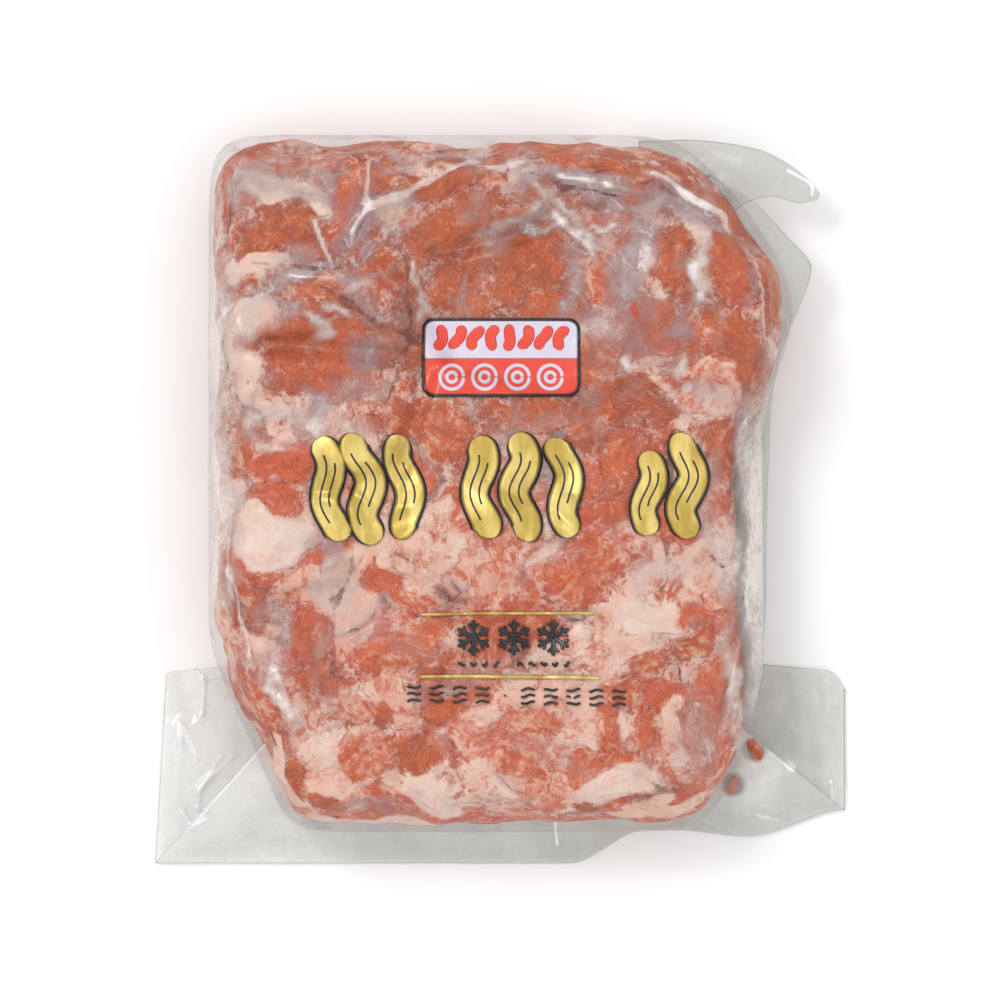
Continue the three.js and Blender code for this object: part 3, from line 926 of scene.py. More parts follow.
class Recipe:
    """A material and the nodes that make it."""

    def __init__(self, name):
        self.material = bpy.data.materials.new(name)
        self.material.use_nodes = True
        self.tree = self.material.node_tree
        self.tree.nodes.clear()

    def add(self, kind, settings=None, sockets=None, output=0):
        """Adds a node, sets it up, then gives its sockets their numbers or links."""
        node = self.tree.nodes.new(kind)
        for key, value in (settings or {}).items():
            setattr(node, key, value)
        for key, value in (sockets or {}).items():
            if isinstance(value, Number):
                self.tree.links.new(value.socket, node.inputs[key])
            else:
                node.inputs[key].default_value = value
        return Number(self, node.outputs[output]) if node.outputs else None

    def mix(self, factor, first, second):
        """One colour turned into another by a factor."""
        first = first if isinstance(first, Number) else (*first, 1.0)
        second = second if isinstance(second, Number) else (*second, 1.0)
        sockets = {0: factor, 6: first, 7: second}
        return self.add("ShaderNodeMix", {"data_type": "RGBA"}, sockets, 2)

    def value(self, name):
        """A number stored at each point of the mesh."""
        return self.add("ShaderNodeAttribute", {"attribute_name": name}, {}, 2)

    def uv(self):
        """The mesh's own UV, which is in millimetres along and across each slice."""
        return self.add("ShaderNodeTexCoord", {}, {}, 2)

    def place(self):
        """The place in the object, in metres."""
        return self.add("ShaderNodeTexCoord", {}, {}, 3)

    def scaled(self, vector, scale, turn=0.0):
        """A vector stretched, and turned about the third axis."""
        sockets = {"Vector": vector, "Scale": scale, "Rotation": (0.0, 0.0, turn)}
        return self.add("ShaderNodeMapping", {}, sockets)

    def moved(self, vector, other, amount):
        """A vector pushed about by a colour or vector around 0.5."""
        centred = self.add("ShaderNodeVectorMath", {"operation": "SUBTRACT"}, {0: other, 1: (0.5, 0.5, 0.5)})
        push = self.add("ShaderNodeVectorMath", {"operation": "SCALE"}, {0: centred, "Scale": amount})
        return self.add("ShaderNodeVectorMath", {"operation": "ADD"}, {0: vector, 1: push})

    def noise(self, vector, scale, detail=3.0, roughness=0.5, output=0):
        """Noise about 0.5, as a number, or as a colour from output 1.

        Its scale is in waves for each unit of the vector, so for each metre of a place.
        """
        sockets = {"Vector": vector, "Scale": scale, "Detail": detail, "Roughness": roughness}
        return self.add("ShaderNodeTexNoise", {}, sockets, output)

    def bump(self, height, distance, strength):
        sockets = {"Height": height, "Distance": distance, "Strength": strength}
        return self.add("ShaderNodeBump", {}, sockets)

    def shader(self, sockets):
        return self.add("ShaderNodeBsdfPrincipled", {}, sockets)

    def finish(self, shader):
        self.add("ShaderNodeOutputMaterial", {}, {"Surface": shader})
        return self.material


def bacon_finish(name, settings):
    """Raw frozen bacon: lean marbled with fat, mottled, and frosted towards each slice's rim.

    There is fat where a noise passes a level that rises with the share of lean. The noise is a broad one
    stretched along the slice, whose own u and v are in millimetres, plus finer ones that run through.
    """
    recipe = Recipe(name)
    uv, place = recipe.uv(), recipe.place()
    lean_share, tone, rim = recipe.value("lean"), recipe.value("tone"), recipe.value("rim")
    wandered = recipe.moved(place, recipe.noise(place, 170.0, 2.0, 0.5, 1), 0.009)
    frayed = recipe.moved(wandered, recipe.noise(place, 700.0, 2.0, 0.6, 1), 0.0022)
    along = recipe.moved(uv, recipe.noise(uv, 0.16, 2.0, 0.5, 1), 9.0)
    broad = recipe.noise(recipe.scaled(along, (0.06, 0.15, 1.0)), 1.0, 2.0, 0.5)
    streak = recipe.noise(recipe.scaled(along, (0.16, 0.5, 1.0)), 1.0, 3.0, 0.55)
    middle = recipe.noise(frayed, 210.0, 4.0, 0.6)
    mottle = recipe.noise(frayed, 620.0, 4.0, 0.65)
    blotch = recipe.noise(wandered, 110.0, 3.0, 0.55)
    grain = recipe.noise(place, 2300.0, 2.0, 0.6)
    fibre = recipe.noise(recipe.scaled(along, (0.07, 0.85, 1.0)), 1.0, 3.0, 0.6).between(0.48, 0.7)

    pattern = broad * 0.34 + streak * 0.22 + middle * 0.34 + mottle * 0.1
    worn = (rim + (middle - 0.5) * 1.2).between(0.62, 1.05)
    level = pattern - (0.345 + 0.335 * lean_share) + worn * 0.035
    fat = (level + (mottle - 0.5) * 0.1 + (grain - 0.5) * 0.06).between(-0.07, 0.08)
    faint = level.between(-0.13, 0.0) * 0.3

    pinkness = (tone + (blotch - 0.5) * 1.1).between(0.0, 1.0)
    lean_colour = recipe.mix(pinkness, tuple(settings.brown_lean), tuple(settings.pink_lean))
    glow = (blotch * 0.5 + middle * 0.5 - worn * 0.1).between(0.40, 0.62)
    lean_colour = recipe.mix(glow * 0.75, lean_colour, tuple(settings.orange_lean))
    deep = 1.0 - (mottle * 0.6 + grain * 0.4).between(0.30, 0.52)
    lean_colour = recipe.mix(deep * 0.62, lean_colour, tuple(settings.dark_lean))
    lean_colour = recipe.mix(faint, lean_colour, tuple(settings.warm_fat))
    warmth = (glow * 0.45 + tone * 0.75 - 0.1).between(0.0, 1.0)
    fat_colour = recipe.mix(warmth, tuple(settings.white_fat), tuple(settings.warm_fat))
    flush = (mottle * 0.5 + streak * 0.5).between(0.44, 0.66) * (0.22 + 0.5 * lean_share)
    fat_colour = recipe.mix(flush, fat_colour, tuple(settings.pink_lean))
    fat_colour = recipe.mix(fibre * 0.4, fat_colour, tuple(settings.warm_fat))
    lean_colour = recipe.mix(fibre * 0.3, lean_colour, tuple(settings.orange_lean))
    colour = recipe.mix(fat, lean_colour, fat_colour)
    frost = (grain * 0.4 + mottle * 0.6 + worn * 0.08).between(0.5, 0.68) * (0.22 + worn * 0.3)
    colour = recipe.mix(frost, colour, tuple(settings.frost))

    relief = recipe.bump(mottle + middle * 0.7, distance=0.0006, strength=0.6)
    sockets = {"Base Color": colour, "Roughness": 0.4 + mottle * 0.25, "Normal": relief}
    sockets["Specular IOR Level"] = 0.3
    return recipe.finish(recipe.shader(sockets))


def core_finish(name, settings):
    """What shows between the slices: dark pressed lean and fat, mottled."""
    recipe = Recipe(name)
    place = recipe.place()
    blotch = recipe.noise(place, 130.0, 5.0, 0.65)
    colour = recipe.mix(blotch.between(0.4, 0.62), tuple(settings.brown_lean), tuple(settings.warm_fat))
    relief = recipe.bump(blotch, distance=0.0008, strength=0.7)
    return recipe.finish(recipe.shader({"Base Color": colour, "Roughness": 0.55, "Normal": relief}))


def film_finish(name, settings, milky, dull, highlight_colour, patchy):
    """Clear vacuum film: mostly see-through with a gloss, and milky where it stands off the slices.

    The milky share and the gloss share are added for how much of the film shows, and the gloss share over
    that sum makes it that much metallic, so that it mirrors without being lit like paint. Stored at each
    point are the haze, which is the milky share, the shade, which turns milky into dull and is partly painted
    shade, and the fold, which holds painted highlight and painted shade. A fold above 0 is a painted
    highlight, and one near -1 is painted shade on the dark side of a fold or along a groove. Where the film
    is patchy, fine curls get a painted highlight as well: they are the thin bands where a noise is near 0.5.
    """
    recipe = Recipe(name)
    place = recipe.place()
    haze, shade, fold = recipe.value("haze"), recipe.value("shade"), recipe.value("fold")
    cloudy = recipe.noise(place, 110.0, 5.0, 0.65)
    fine = recipe.noise(place, 520.0, 4.0, 0.6)
    facing = recipe.add("ShaderNodeLayerWeight", {}, {"Blend": 0.35}, 1)
    patches = (cloudy * 0.6 + fine * 0.4).between(0.3, 0.66) * (1.1 * patchy) + (1.0 - patchy)
    curls = recipe.noise(recipe.scaled(place, (1.0, 0.8, 1.0), 0.7), 70.0, 3.0, 0.5)
    # Painted highlight: thin curls where the film is hazy, and the crests of its folds.
    painted_curl_highlight = (1.0 - (curls - 0.5).size() * 40.0).between(0.2, 1.0) * haze.between(0.3, 0.75) * patchy
    painted_highlight = (fold.between(0.0, 1.0) * (0.6 + fine * 0.6)).most(painted_curl_highlight * 0.5)
    # Painted shade in the lee of folds and along grooves, broken up by noise.
    dark = ((cloudy - 0.5) * 0.5 + (fine - 0.5) * 0.5 - fold).between(0.8, 1.12)
    milk = (haze * patches + facing * facing * 0.2).least(0.92).most(painted_highlight).most(dark * 0.6)
    gloss = 0.025 + facing * 0.03
    shown = (milk + gloss).least(1.0)
    wrinkles = recipe.noise(recipe.scaled(place, (1.0, 0.6, 1.0), 0.5), 240.0, 4.0, 0.6)
    relief = recipe.bump(wrinkles + fine * 0.3, distance=0.0007, strength=0.5)
    dulled = (shade + (cloudy - 0.5) * (1.4 * patchy)).between(0.0, 1.0)
    colour = recipe.mix(dulled, tuple(milky), tuple(dull))
    # The painted highlight and the painted shade are mixed into the film's colour.
    colour = recipe.mix(painted_highlight.between(0.0, 0.5), colour, tuple(highlight_colour))
    colour = recipe.mix(dark.between(0.0, 0.6), colour, tuple(settings.fold_shadow))
    sockets = {"Base Color": colour, "Roughness": 0.22, "Metallic": gloss / shown, "Normal": relief}
    skin = recipe.shader(sockets)
    clear = recipe.add("ShaderNodeBsdfTransparent", {}, {"Color": (*settings.film_tint, 1.0)})
    return recipe.finish(recipe.add("ShaderNodeMixShader", {}, {0: shown, 1: clear, 2: skin}))


def gold_finish(name, settings):
    """Printed gold foil: wrinkled, with brighter and browner streaks across it."""
    recipe = Recipe(name)
    place = recipe.place()
    streak = recipe.noise(recipe.scaled(place, (1.0, 0.35, 1.0), 0.6), 160.0, 3.0, 0.6)
    fine = recipe.noise(place, 700.0, 3.0, 0.6)
    colour = recipe.mix(streak.between(0.35, 0.7), tuple(settings.gold), tuple(settings.bright_gold))
    relief = recipe.bump(streak + fine * 0.2, distance=0.0006, strength=0.5)
    sockets = {"Base Color": colour, "Metallic": 0.35, "Roughness": 0.3 + fine * 0.15, "Normal": relief}
    return recipe.finish(recipe.shader(sockets))


def ink_finish(name, colour, worn_colour):
    """Printed ink on film: even, with a slight mottle and wrinkles."""
    recipe = Recipe(name)
    place = recipe.place()
    mottle = recipe.noise(place, 260.0, 4.0, 0.6)
    shade = recipe.mix(mottle.between(0.45, 0.8) * 0.6, tuple(colour), tuple(worn_colour))
    wrinkles = recipe.noise(place, 180.0, 3.0, 0.5)
    relief = recipe.bump(wrinkles, distance=0.0005, strength=0.4)
    return recipe.finish(recipe.shader({"Base Color": shade, "Roughness": 0.3, "Normal": relief}))


def floor_finish(name):
    """A plain pale floor with a very faint mottle."""
    recipe = Recipe(name)
    mottle = recipe.noise(recipe.place(), 8.0, 2.0, 0.5)
    colour = recipe.mix(mottle, (0.90, 0.90, 0.90), (0.92, 0.92, 0.92))
    return recipe.finish(recipe.shader({"Base Color": colour, "Roughness": 0.9}))


# ---- Settings ---------------------------------------------------------------------------------------


def colour_setting(name, description, default):
    """A colour that a user would change, as red, green and blue from 0 to 1."""
    return FloatVectorProperty(
        name=name, description=description, default=default, subtype="COLOR", min=0, max=1
    )


class BaconPackSettings(bpy.types.PropertyGroup):
    """Sizes and colours that a user would change."""

    film_thickness: FloatProperty(
        name="Film", description="Thickness of the loose film's two layers", default=0.0003, unit="LENGTH"
    )
    print_lift: FloatProperty(
        name="Print lift", description="How far the print stands off the film", default=0.0002, unit="LENGTH"
    )
    view_distance: FloatProperty(
        name="Camera distance", description="Height of the camera over the face", default=2.5, unit="LENGTH"
    )
    brown_lean: colour_setting("Brown lean", "Lean of the upper slices", (0.35, 0.072, 0.03))
    orange_lean: colour_setting("Orange lean", "Warm patches of the lean", (0.58, 0.12, 0.025))
    pink_lean: colour_setting("Pink lean", "Lean of the lower slices", (0.56, 0.098, 0.05))
    dark_lean: colour_setting("Dark lean", "Deep parts of the lean", (0.19, 0.028, 0.012))
    white_fat: colour_setting("White fat", "Coldest fat", (0.77, 0.62, 0.54))
    warm_fat: colour_setting("Warm fat", "Fat tinted by the lean", (0.78, 0.47, 0.36))
    frost: colour_setting("Frost", "Ice crystals on the meat", (0.74, 0.60, 0.55))
    film_milk: colour_setting("Film milk", "Film standing off the slices", (0.72, 0.65, 0.60))
    # Dull lilac of frosted film: partly its own tint over the meat, partly painted shade.
    lilac_frost_and_shade: colour_setting("Film lilac", "The same, in its cooler places", (0.39, 0.285, 0.30))
    # Colours of the painted highlight on folds, the painted shade beside them, and the painted highlight on
    # curls.
    film_fold_highlight: colour_setting("Film folds", "Bright folds of the drawn film", (0.82, 0.73, 0.70))
    fold_shadow: colour_setting("Fold shadow", "Dark side of the film's folds", (0.16, 0.09, 0.08))
    loose_fold_highlight: colour_setting("Loose folds", "Bright curls of the loose film", (0.94, 0.94, 0.94))
    loose_milk: colour_setting("Loose film", "Film that lies on film", (0.92, 0.92, 0.90))
    loose_grey: colour_setting("Loose film grey", "The same, where it is greyer", (0.74, 0.74, 0.71))
    side_grey: colour_setting("Side film grey", "The film beside the block", (0.56, 0.57, 0.54))
    film_tint: colour_setting("Film tint", "Light let through one layer", (0.98, 0.98, 0.977))
    gold: colour_setting("Gold", "Gold print", (0.50, 0.34, 0.06))
    bright_gold: colour_setting("Bright gold", "Its brighter streaks", (0.80, 0.62, 0.2))
    red_print: colour_setting("Red print", "Red field of the label", (0.72, 0.06, 0.035))
    white_print: colour_setting("White print", "White field of the label", (0.62, 0.57, 0.68))
    dark_print: colour_setting("Dark print", "Outlines and small print", (0.018, 0.018, 0.02))


def settings():
    """The sizes and colours in the panel."""
    return bpy.context.scene.bacon_pack


HEAP = []


def heap():
    """The heap of slices, laid once."""
    if not HEAP:
        HEAP.append(Heap())
    return HEAP[0]


def keep(piece):
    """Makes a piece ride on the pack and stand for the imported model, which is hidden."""
    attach(piece, "root")
    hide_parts(NODE)
    return piece


# ---- Operators --------------------------------------------------------------------------------------


class BACONPACK_OT_core(bpy.types.Operator):
    """Makes the core of pressed bacon that the slices lie on"""

    bl_idname = "bacon_pack.core"
    bl_label = "Bacon Core"

    def execute(self, context):
        across, along = square_grid(rows=170, columns=150)
        x, y = chart_grid(across, along)
        laid = heap()
        top = on_block(x, y, laid.core_lift(laid.face_film, laid.face_gap, x, y), 1)
        least_depth = 1.2
        under = np.minimum(laid.core_lift(laid.back_film, laid.back_gap, x, y), -least_depth)
        bottom = on_block(x, y, under, -1)
        points, faces = cushion(top, bottom)
        keep(make_piece("bacon_core", points, faces, core_finish("pressed_bacon", settings())))
        return {"FINISHED"}


class BACONPACK_OT_slices(bpy.types.Operator):
    """Lays the slices of bacon: those that show on the face, those under them and those of the back"""

    bl_idname = "bacon_pack.slices"
    bl_label = "Bacon Slices"

    def execute(self, context):
        bacon = bacon_finish("raw_bacon", settings())
        laid = heap()
        parts = (
            ("bacon_slices_face", laid.shown, laid.face_bed, laid.face_general, laid.face_film, 1, 31),
            ("bacon_slices_under_face", laid.under, laid.face_bed, laid.face_general, laid.face_film, 1, 32),
            ("bacon_slices_back", laid.back, laid.back_bed, laid.back_general, laid.back_film, -1, 33),
        )
        for name, slices, bed, level, film, side, seed in parts:
            keep(slices_piece(name, slices, bed, level, film, side, bacon, seed))
        return {"FINISHED"}


class BACONPACK_OT_scraps(bpy.types.Operator):
    """Puts the loose scraps of bacon in the film beside the block"""

    bl_idname = "bacon_pack.scraps"
    bl_label = "Loose Scraps"

    def execute(self, context):
        half_thickness = 0.8
        across, along = square_grid(rows=21, columns=31)
        a, b = unit_square_to_disc(across, along, 2.4)
        dome = half_thickness * np.sqrt(np.clip(1 - np.maximum(np.abs(across), np.abs(along)) ** 2, 0, 1))
        tops, bottoms = [], []
        for cx, cy, cz, turn, length, width in SCRAPS:
            x, y = turned(a * length / 2, b * width / 2, turn)
            x, y = x + cx, y + cy
            x, y = x + 0.35 * sample(cloud(81, 1.2), x, y), y + 0.35 * sample(cloud(82, 1.2), x, y)
            tops.append(np.stack([x, y, cz + dome], axis=-1))
            bottoms.append(np.stack([x, y, cz - dome], axis=-1))
        points, faces = cushion(np.stack(tops), np.stack(bottoms))
        shares = {"lean": 0.9, "tone": 0.3, "rim": 0.6}
        values = {key: np.full(len(points), share) for key, share in shares.items()}
        bacon = bacon_finish("loose_bacon", settings())
        keep(make_piece("bacon_scraps", points, faces, bacon, values, points[:, :2]))
        return {"FINISHED"}


class BACONPACK_OT_film(bpy.types.Operator):
    """Draws the bag's film over the block of slices"""

    bl_idname = "bacon_pack.film"
    bl_label = "Bag Film"

    def execute(self, context):
        across, along = square_grid(rows=222, columns=196)
        x, y = chart_grid(across, along)
        laid = heap()
        seam = past_rim(x, y) ** 3
        face_lift = sample(laid.face_film, x, y) * (1 - seam)
        back_lift = sample(laid.back_film, x, y) * (1 - seam) * 0.5 - 0.3 * (1 - seam)
        top = on_block(x, y, face_lift, 1)
        bottom = on_block(x, y, np.minimum(back_lift, 0.0), -1)
        frost, lilac = frosting(x, y)
        face_haze = film_haze(sample(laid.face_gap, x, y) + slack(x, y) * 0.35) + frost
        back_haze = film_haze(sample(laid.back_gap, x, y) + slack(x, y) * 0.35)
        points, faces = cushion(top, bottom)
        # Painted highlight along the creases' crests, and painted shade in their lee and along the grooves.
        fold = self.fold_shade(x, y)
        values = {"haze": cushion_values(face_haze, back_haze), "fold": cushion_values(fold, 0 * fold)}
        values["shade"] = cushion_values(lilac, 0 * lilac + 0.5)
        look = settings()
        colours = look.film_milk, look.lilac_frost_and_shade, look.film_fold_highlight
        film = film_finish("drawn_film", look, *colours, patchy=0.65)
        keep(make_piece("bag_film", points, faces, film, values))
        return {"FINISHED"}

    @staticmethod
    def fold_shade(x, y):
        """Above 0 where a fold's crest glints, below 0 in its lee and along a groove, where it looks dark.

        The lee is where the folds, shifted away from the light, stand higher than the folds themselves. The
        crest gets a painted highlight, and the lee and the grooves get painted shade.
        """
        groove_half_width = 2.4
        shift = 0.9
        folds = [row for row in CREASES if row[-1] > 0]
        grooves = [
            (*ends, groove_half_width, 0.8 - 0.2 * height) for *ends, _, height in CREASES if height < 0
        ]
        crest = wandering_ridges(x, y, folds)
        lee = wandering_ridges(x - shift, y + shift, folds) - crest
        groove = np.minimum(wandering_ridges(x, y, grooves), 1.0)
        dark = np.maximum(ease(lee, 0.0, 0.9), groove)
        return 0.55 * ease(crest, 0.1, 1.3) - dark * (1 - ease(crest, 0.2, 0.7))


def film_haze(gap):
    """How milky the film looks over a gap: hardly where it touches, most from about two millimetres up."""
    return 0.01 + 0.42 * ease(gap, 0.4, 2.2)


def frosting(x, y):
    """Frost inside the film, and how lilac it is: soft-edged ellipses over a thin uneven veil."""
    wander_x, wander_y = (
        2.0 * sample(cloud(seed, 3.5), x, y) + 0.8 * sample(cloud(seed + 2, 1.2), x, y) for seed in (71, 72)
    )
    veil = 0.16 * sample(cloud(74, 4.5), x, y) + 0.12 * sample(cloud(75, 1.8), x, y)
    frost = 0.4 * ease(veil, 0.05, 0.45) * (0.5 + 0.5 * ease(y, -40, 20))
    total, weight = frost * 0.6 + 0.05, frost + 0.1
    for cx, cy, turn, length, width, strength, lilac in FROSTS:
        along, across = turned(x - cx + wander_x, y - cy + wander_y, -turn)
        away = np.hypot(2 * along / length, 2 * across / width)
        here = 0.95 * strength * (1 - ease(away, 0.35, 1.25))
        frost = np.maximum(frost, here)
        total, weight = total + here**2 * lilac * 4, weight + here**2 * 4
    return frost, total / weight


def loose_sheet(name, x, y, z, haze, painted_highlight, material):
    """A closed sheet of film about a middle surface, as thick as two layers, thinning out at its border.

    haze is how milky it is at each point, and the next argument is the painted highlight on its curls. It
    gets duller to the right, which is painted shade.
    """
    half = settings().film_thickness * MM / 2
    top = np.stack([x, y, z + half], axis=-1)
    bottom = np.stack([x, y, z - half], axis=-1)
    top[[0, -1]] = (top[[0, -1]] + bottom[[0, -1]]) / 2
    top[:, [0, -1]] = (top[:, [0, -1]] + bottom[:, [0, -1]]) / 2
    points, faces = cushion(top, bottom)
    # Painted shade: the sheet is duller to the right.
    shade = ease(x, -75, 75)
    values = {"haze": cushion_values(haze, haze), "fold": cushion_values(painted_highlight, painted_highlight)}
    values["shade"] = cushion_values(shade, shade)
    return make_piece(name, points, faces, material, values)


def fold_line(x):
    """The y where the mouth end turns under: straight on the left, drawn up in a wave on the right."""
    return FOLD_Y + 9.5 * ease(x, 20, 42) - 1.6 * ease(x, 52, 70) + 7.5 * ease(x, 72, BAG_HALF)


class BACONPACK_OT_tail(bpy.types.Operator):
    """Folds the bag's mouth end under the block: a lower layer on the ground, an upper one up to the block"""

    bl_idname = "bacon_pack.tail"
    bl_label = "Folded Tail"

    def execute(self, context):
        look = settings()
        colours = look.loose_milk, look.loose_grey, look.loose_fold_highlight
        film = film_finish("loose_film", look, *colours, patchy=0.2)
        narrowing, corner_size, mouth_y = 0.032, 5, -46
        across, along = square_grid(rows=90, columns=260)
        back = (along + 1) / 2
        x = across * BAG_HALF * (1 - narrowing * back * (across < 0))
        corner = corner_size * np.maximum(0, (np.abs(x) - BAG_HALF + corner_size) / corner_size) ** 2
        mouth = mouth_y - 4 * np.abs(across) ** 3 - corner
        y = fold_line(x) + (mouth - fold_line(x)) * back
        shape = ridges(x, y, LOOSE_RIDGES)
        outside = ease(np.abs(x), 70, 88)
        crumple = 0.30 * sample(cloud(41, 6.0), x, y) + 0.13 * sample(cloud(45, 1.6), x, y)
        z = 0.35 + outside * (shape + 0.6 + crumple * ease(back, 0, 0.2))
        seal = 0.12 * (ease(np.abs(x), 92.5, 93.5) - 0.4 * ease(np.abs(x), 98.5, 99.5))
        # The haze grows to the right, greying the film there as painted shade; the seal adds the side seals'
        # bands.
        grey = 0.30 + 0.22 * ease(x, -40, 60) + seal + 0.07 * sample(cloud(42, 3.0), x, y)
        # The curled ridges get a painted highlight along their crests.
        keep(loose_sheet("tail_under", x, y, z, grey, 0.8 * ease(shape, 0.2, 0.65) * outside, film))

        neck_left, neck_right, neck_y, neck_height = 64.0, 70.0, -66, 13.0
        across, along = square_grid(rows=80, columns=260)
        rise = (along + 1) / 2
        half = BAG_HALF + (np.where(across < 0, neck_left, neck_right) - BAG_HALF) * rise
        x = across * half
        y = fold_line(across * BAG_HALF) + (neck_y - fold_line(across * BAG_HALF)) * rise
        shape = ridges(x, y, LOOSE_RIDGES)
        waves = 0.45 * sample(cloud(43, 6.0), x, y) + 0.15 * sample(cloud(46, 1.6), x, y)
        waves = waves * ease(rise, 0, 0.15)
        z = 1.1 + neck_height * ease(rise, 0.02, 0.5) + shape + waves
        rim = ease(np.abs(across), 0.97, 1.0)
        # Here too the haze grows to the right as painted shade.
        grey = 0.34 + 0.1 * ease(x, -40, 60) + 0.06 * sample(cloud(44, 4.0), x, y)
        grey = grey + 0.22 * ease(x, 64, 72) * (1 - ease(x, 75, 84))
        for cx, cy, *_ in SCRAPS:
            grey = grey * (0.15 + 0.85 * ease(np.hypot(x - cx, y - cy), 2.5, 4.5))
        # A painted highlight along the neck's side edges, strong on the left and faint on the right.
        painted_rim_highlight = rim * ease(rise, 0.1, 0.3) * np.where(x < 0, 0.75, 0.15)
        painted_highlight = np.maximum(0.8 * ease(shape, 0.2, 0.65), painted_rim_highlight)
        keep(loose_sheet("tail_over", x, y, z, grey, painted_highlight, film))
        return {"FINISHED"}


class BACONPACK_OT_flaps(bpy.types.Operator):
    """Makes the film that the block doesn't fill at its closed end: a corner ear and a fin along the side"""

    bl_idname = "bacon_pack.flaps"
    bl_label = "Side Film"

    def execute(self, context):
        look = settings()
        colours = look.loose_grey, look.side_grey, look.loose_fold_highlight
        film = film_finish("side_film", look, *colours, patchy=0.15)
        for name, (outer, inner), seed in (("corner_ear", CORNER_EAR, 51), ("side_fin", SIDE_FIN, 52)):
            length_steps = 90
            ox, oy = smooth_curve(outer, length_steps)
            ix, iy = smooth_curve(inner, length_steps)
            t = (square_grid(rows=40, columns=length_steps)[1] + 1) / 2
            x = ix + (ox - ix) * t
            y = iy + (oy - iy) * t
            z = SEAM_LEVEL + 0.5 * sample(cloud(seed, 6.0), x, y) + 1.2 * np.sin(x / 9.0)
            grey = 0.5 + 0.05 * sample(cloud(seed + 5, 5.0), x, y) + 0.2 * ease(t, 0.93, 1.0)
            # The ridges on a flap are only a painted highlight; they don't raise it.
            painted_highlight = 0.8 * ease(ridges(x, y, LOOSE_RIDGES), 0.2, 0.65)
            keep(loose_sheet(name, x, y, z, grey, painted_highlight, film))
        return {"FINISHED"}


def print_piece(name, patches, height, material):
    """Thin closed shells draped on the film: patches are pairs of x and y grids, all of one size."""
    x = np.stack([patch[0] for patch in patches])
    y = np.stack([patch[1] for patch in patches])
    lift = sample(heap().face_film, x, y) * (1 - past_rim(x, y) ** 3) + settings().print_lift * MM
    thick = np.full(x.shape, height)
    thick[:, [0, -1]] = height * 0.5
    thick[:, :, [0, -1]] = height * 0.5
    top, bottom = on_block(x, y, lift + thick), on_block(x, y, lift)
    bottom[:, [0, -1]] = top[:, [0, -1]]
    bottom[:, :, [0, -1]] = top[:, :, [0, -1]]
    points, faces = cushion(top, bottom)
    return keep(make_piece(name, points, faces, material))


def rounded_field(left, right, low, high, top_radius, bottom_radius, rows, columns):
    """A rectangle with rounded corners, as x and y grids whose rings follow its outline."""
    across, along = square_grid(rows, columns)
    ring = np.maximum(np.maximum(np.abs(across), np.abs(along)), 1e-9)
    half_x, half_y = (right - left) / 2, (high - low) / 2
    x, y = across / ring * half_x, along / ring * half_y
    radius = np.where(y > 0, top_radius, bottom_radius)
    corner_x = np.clip(x, -half_x + radius, half_x - radius)
    corner_y = np.clip(y, -half_y + radius, half_y - radius)
    out_x, out_y = x - corner_x, y - corner_y
    pull = radius / np.maximum(np.hypot(out_x, out_y), np.maximum(radius, 1e-9))
    x = np.where(radius > 0, corner_x + out_x * pull, x)
    y = np.where(radius > 0, corner_y + out_y * pull, y)
    return x * ring + (left + right) / 2, y * ring + (low + high) / 2


def brush_stroke(points, half_width, swell=0.0, rows=7, columns=60):
    """A brush stroke along a smooth curve, as x and y grids: its ends are round and its width swells."""
    cx, cy = smooth_curve(points, columns)
    side = square_grid(rows, columns)[1]
    dx, dy = np.gradient(cx), np.gradient(cy)
    length = np.hypot(dx, dy)
    way = np.concatenate([[0], np.cumsum(length[1:])])
    from_end = np.minimum(way, way[-1] - way)
    end = np.sqrt(np.clip(1 - (1 - np.minimum(from_end / half_width, 1)) ** 2, 0.0, 1))
    width = half_width * np.maximum(end, 0.12) * (1 + swell * np.sin(way / way[-1] * 9 + points[0][0]))
    x = cx[None, :] - (dy / length * width)[None, :] * side
    y = cy[None, :] + (dx / length * width)[None, :] * side
    return x, y


def wavy_line(x0, y0, x1, y1, waves, size, start=0.0, count=13):
    """Points along a straight line that weaves from side to side."""
    t = np.linspace(0, 1, count)
    length = math.hypot(x1 - x0, y1 - y0)
    weave = size * np.sin(2 * math.pi * waves * t + start)
    x = x0 + (x1 - x0) * t - (y1 - y0) / length * weave
    y = y0 + (y1 - y0) * t + (x1 - x0) / length * weave
    return list(zip(x, y))


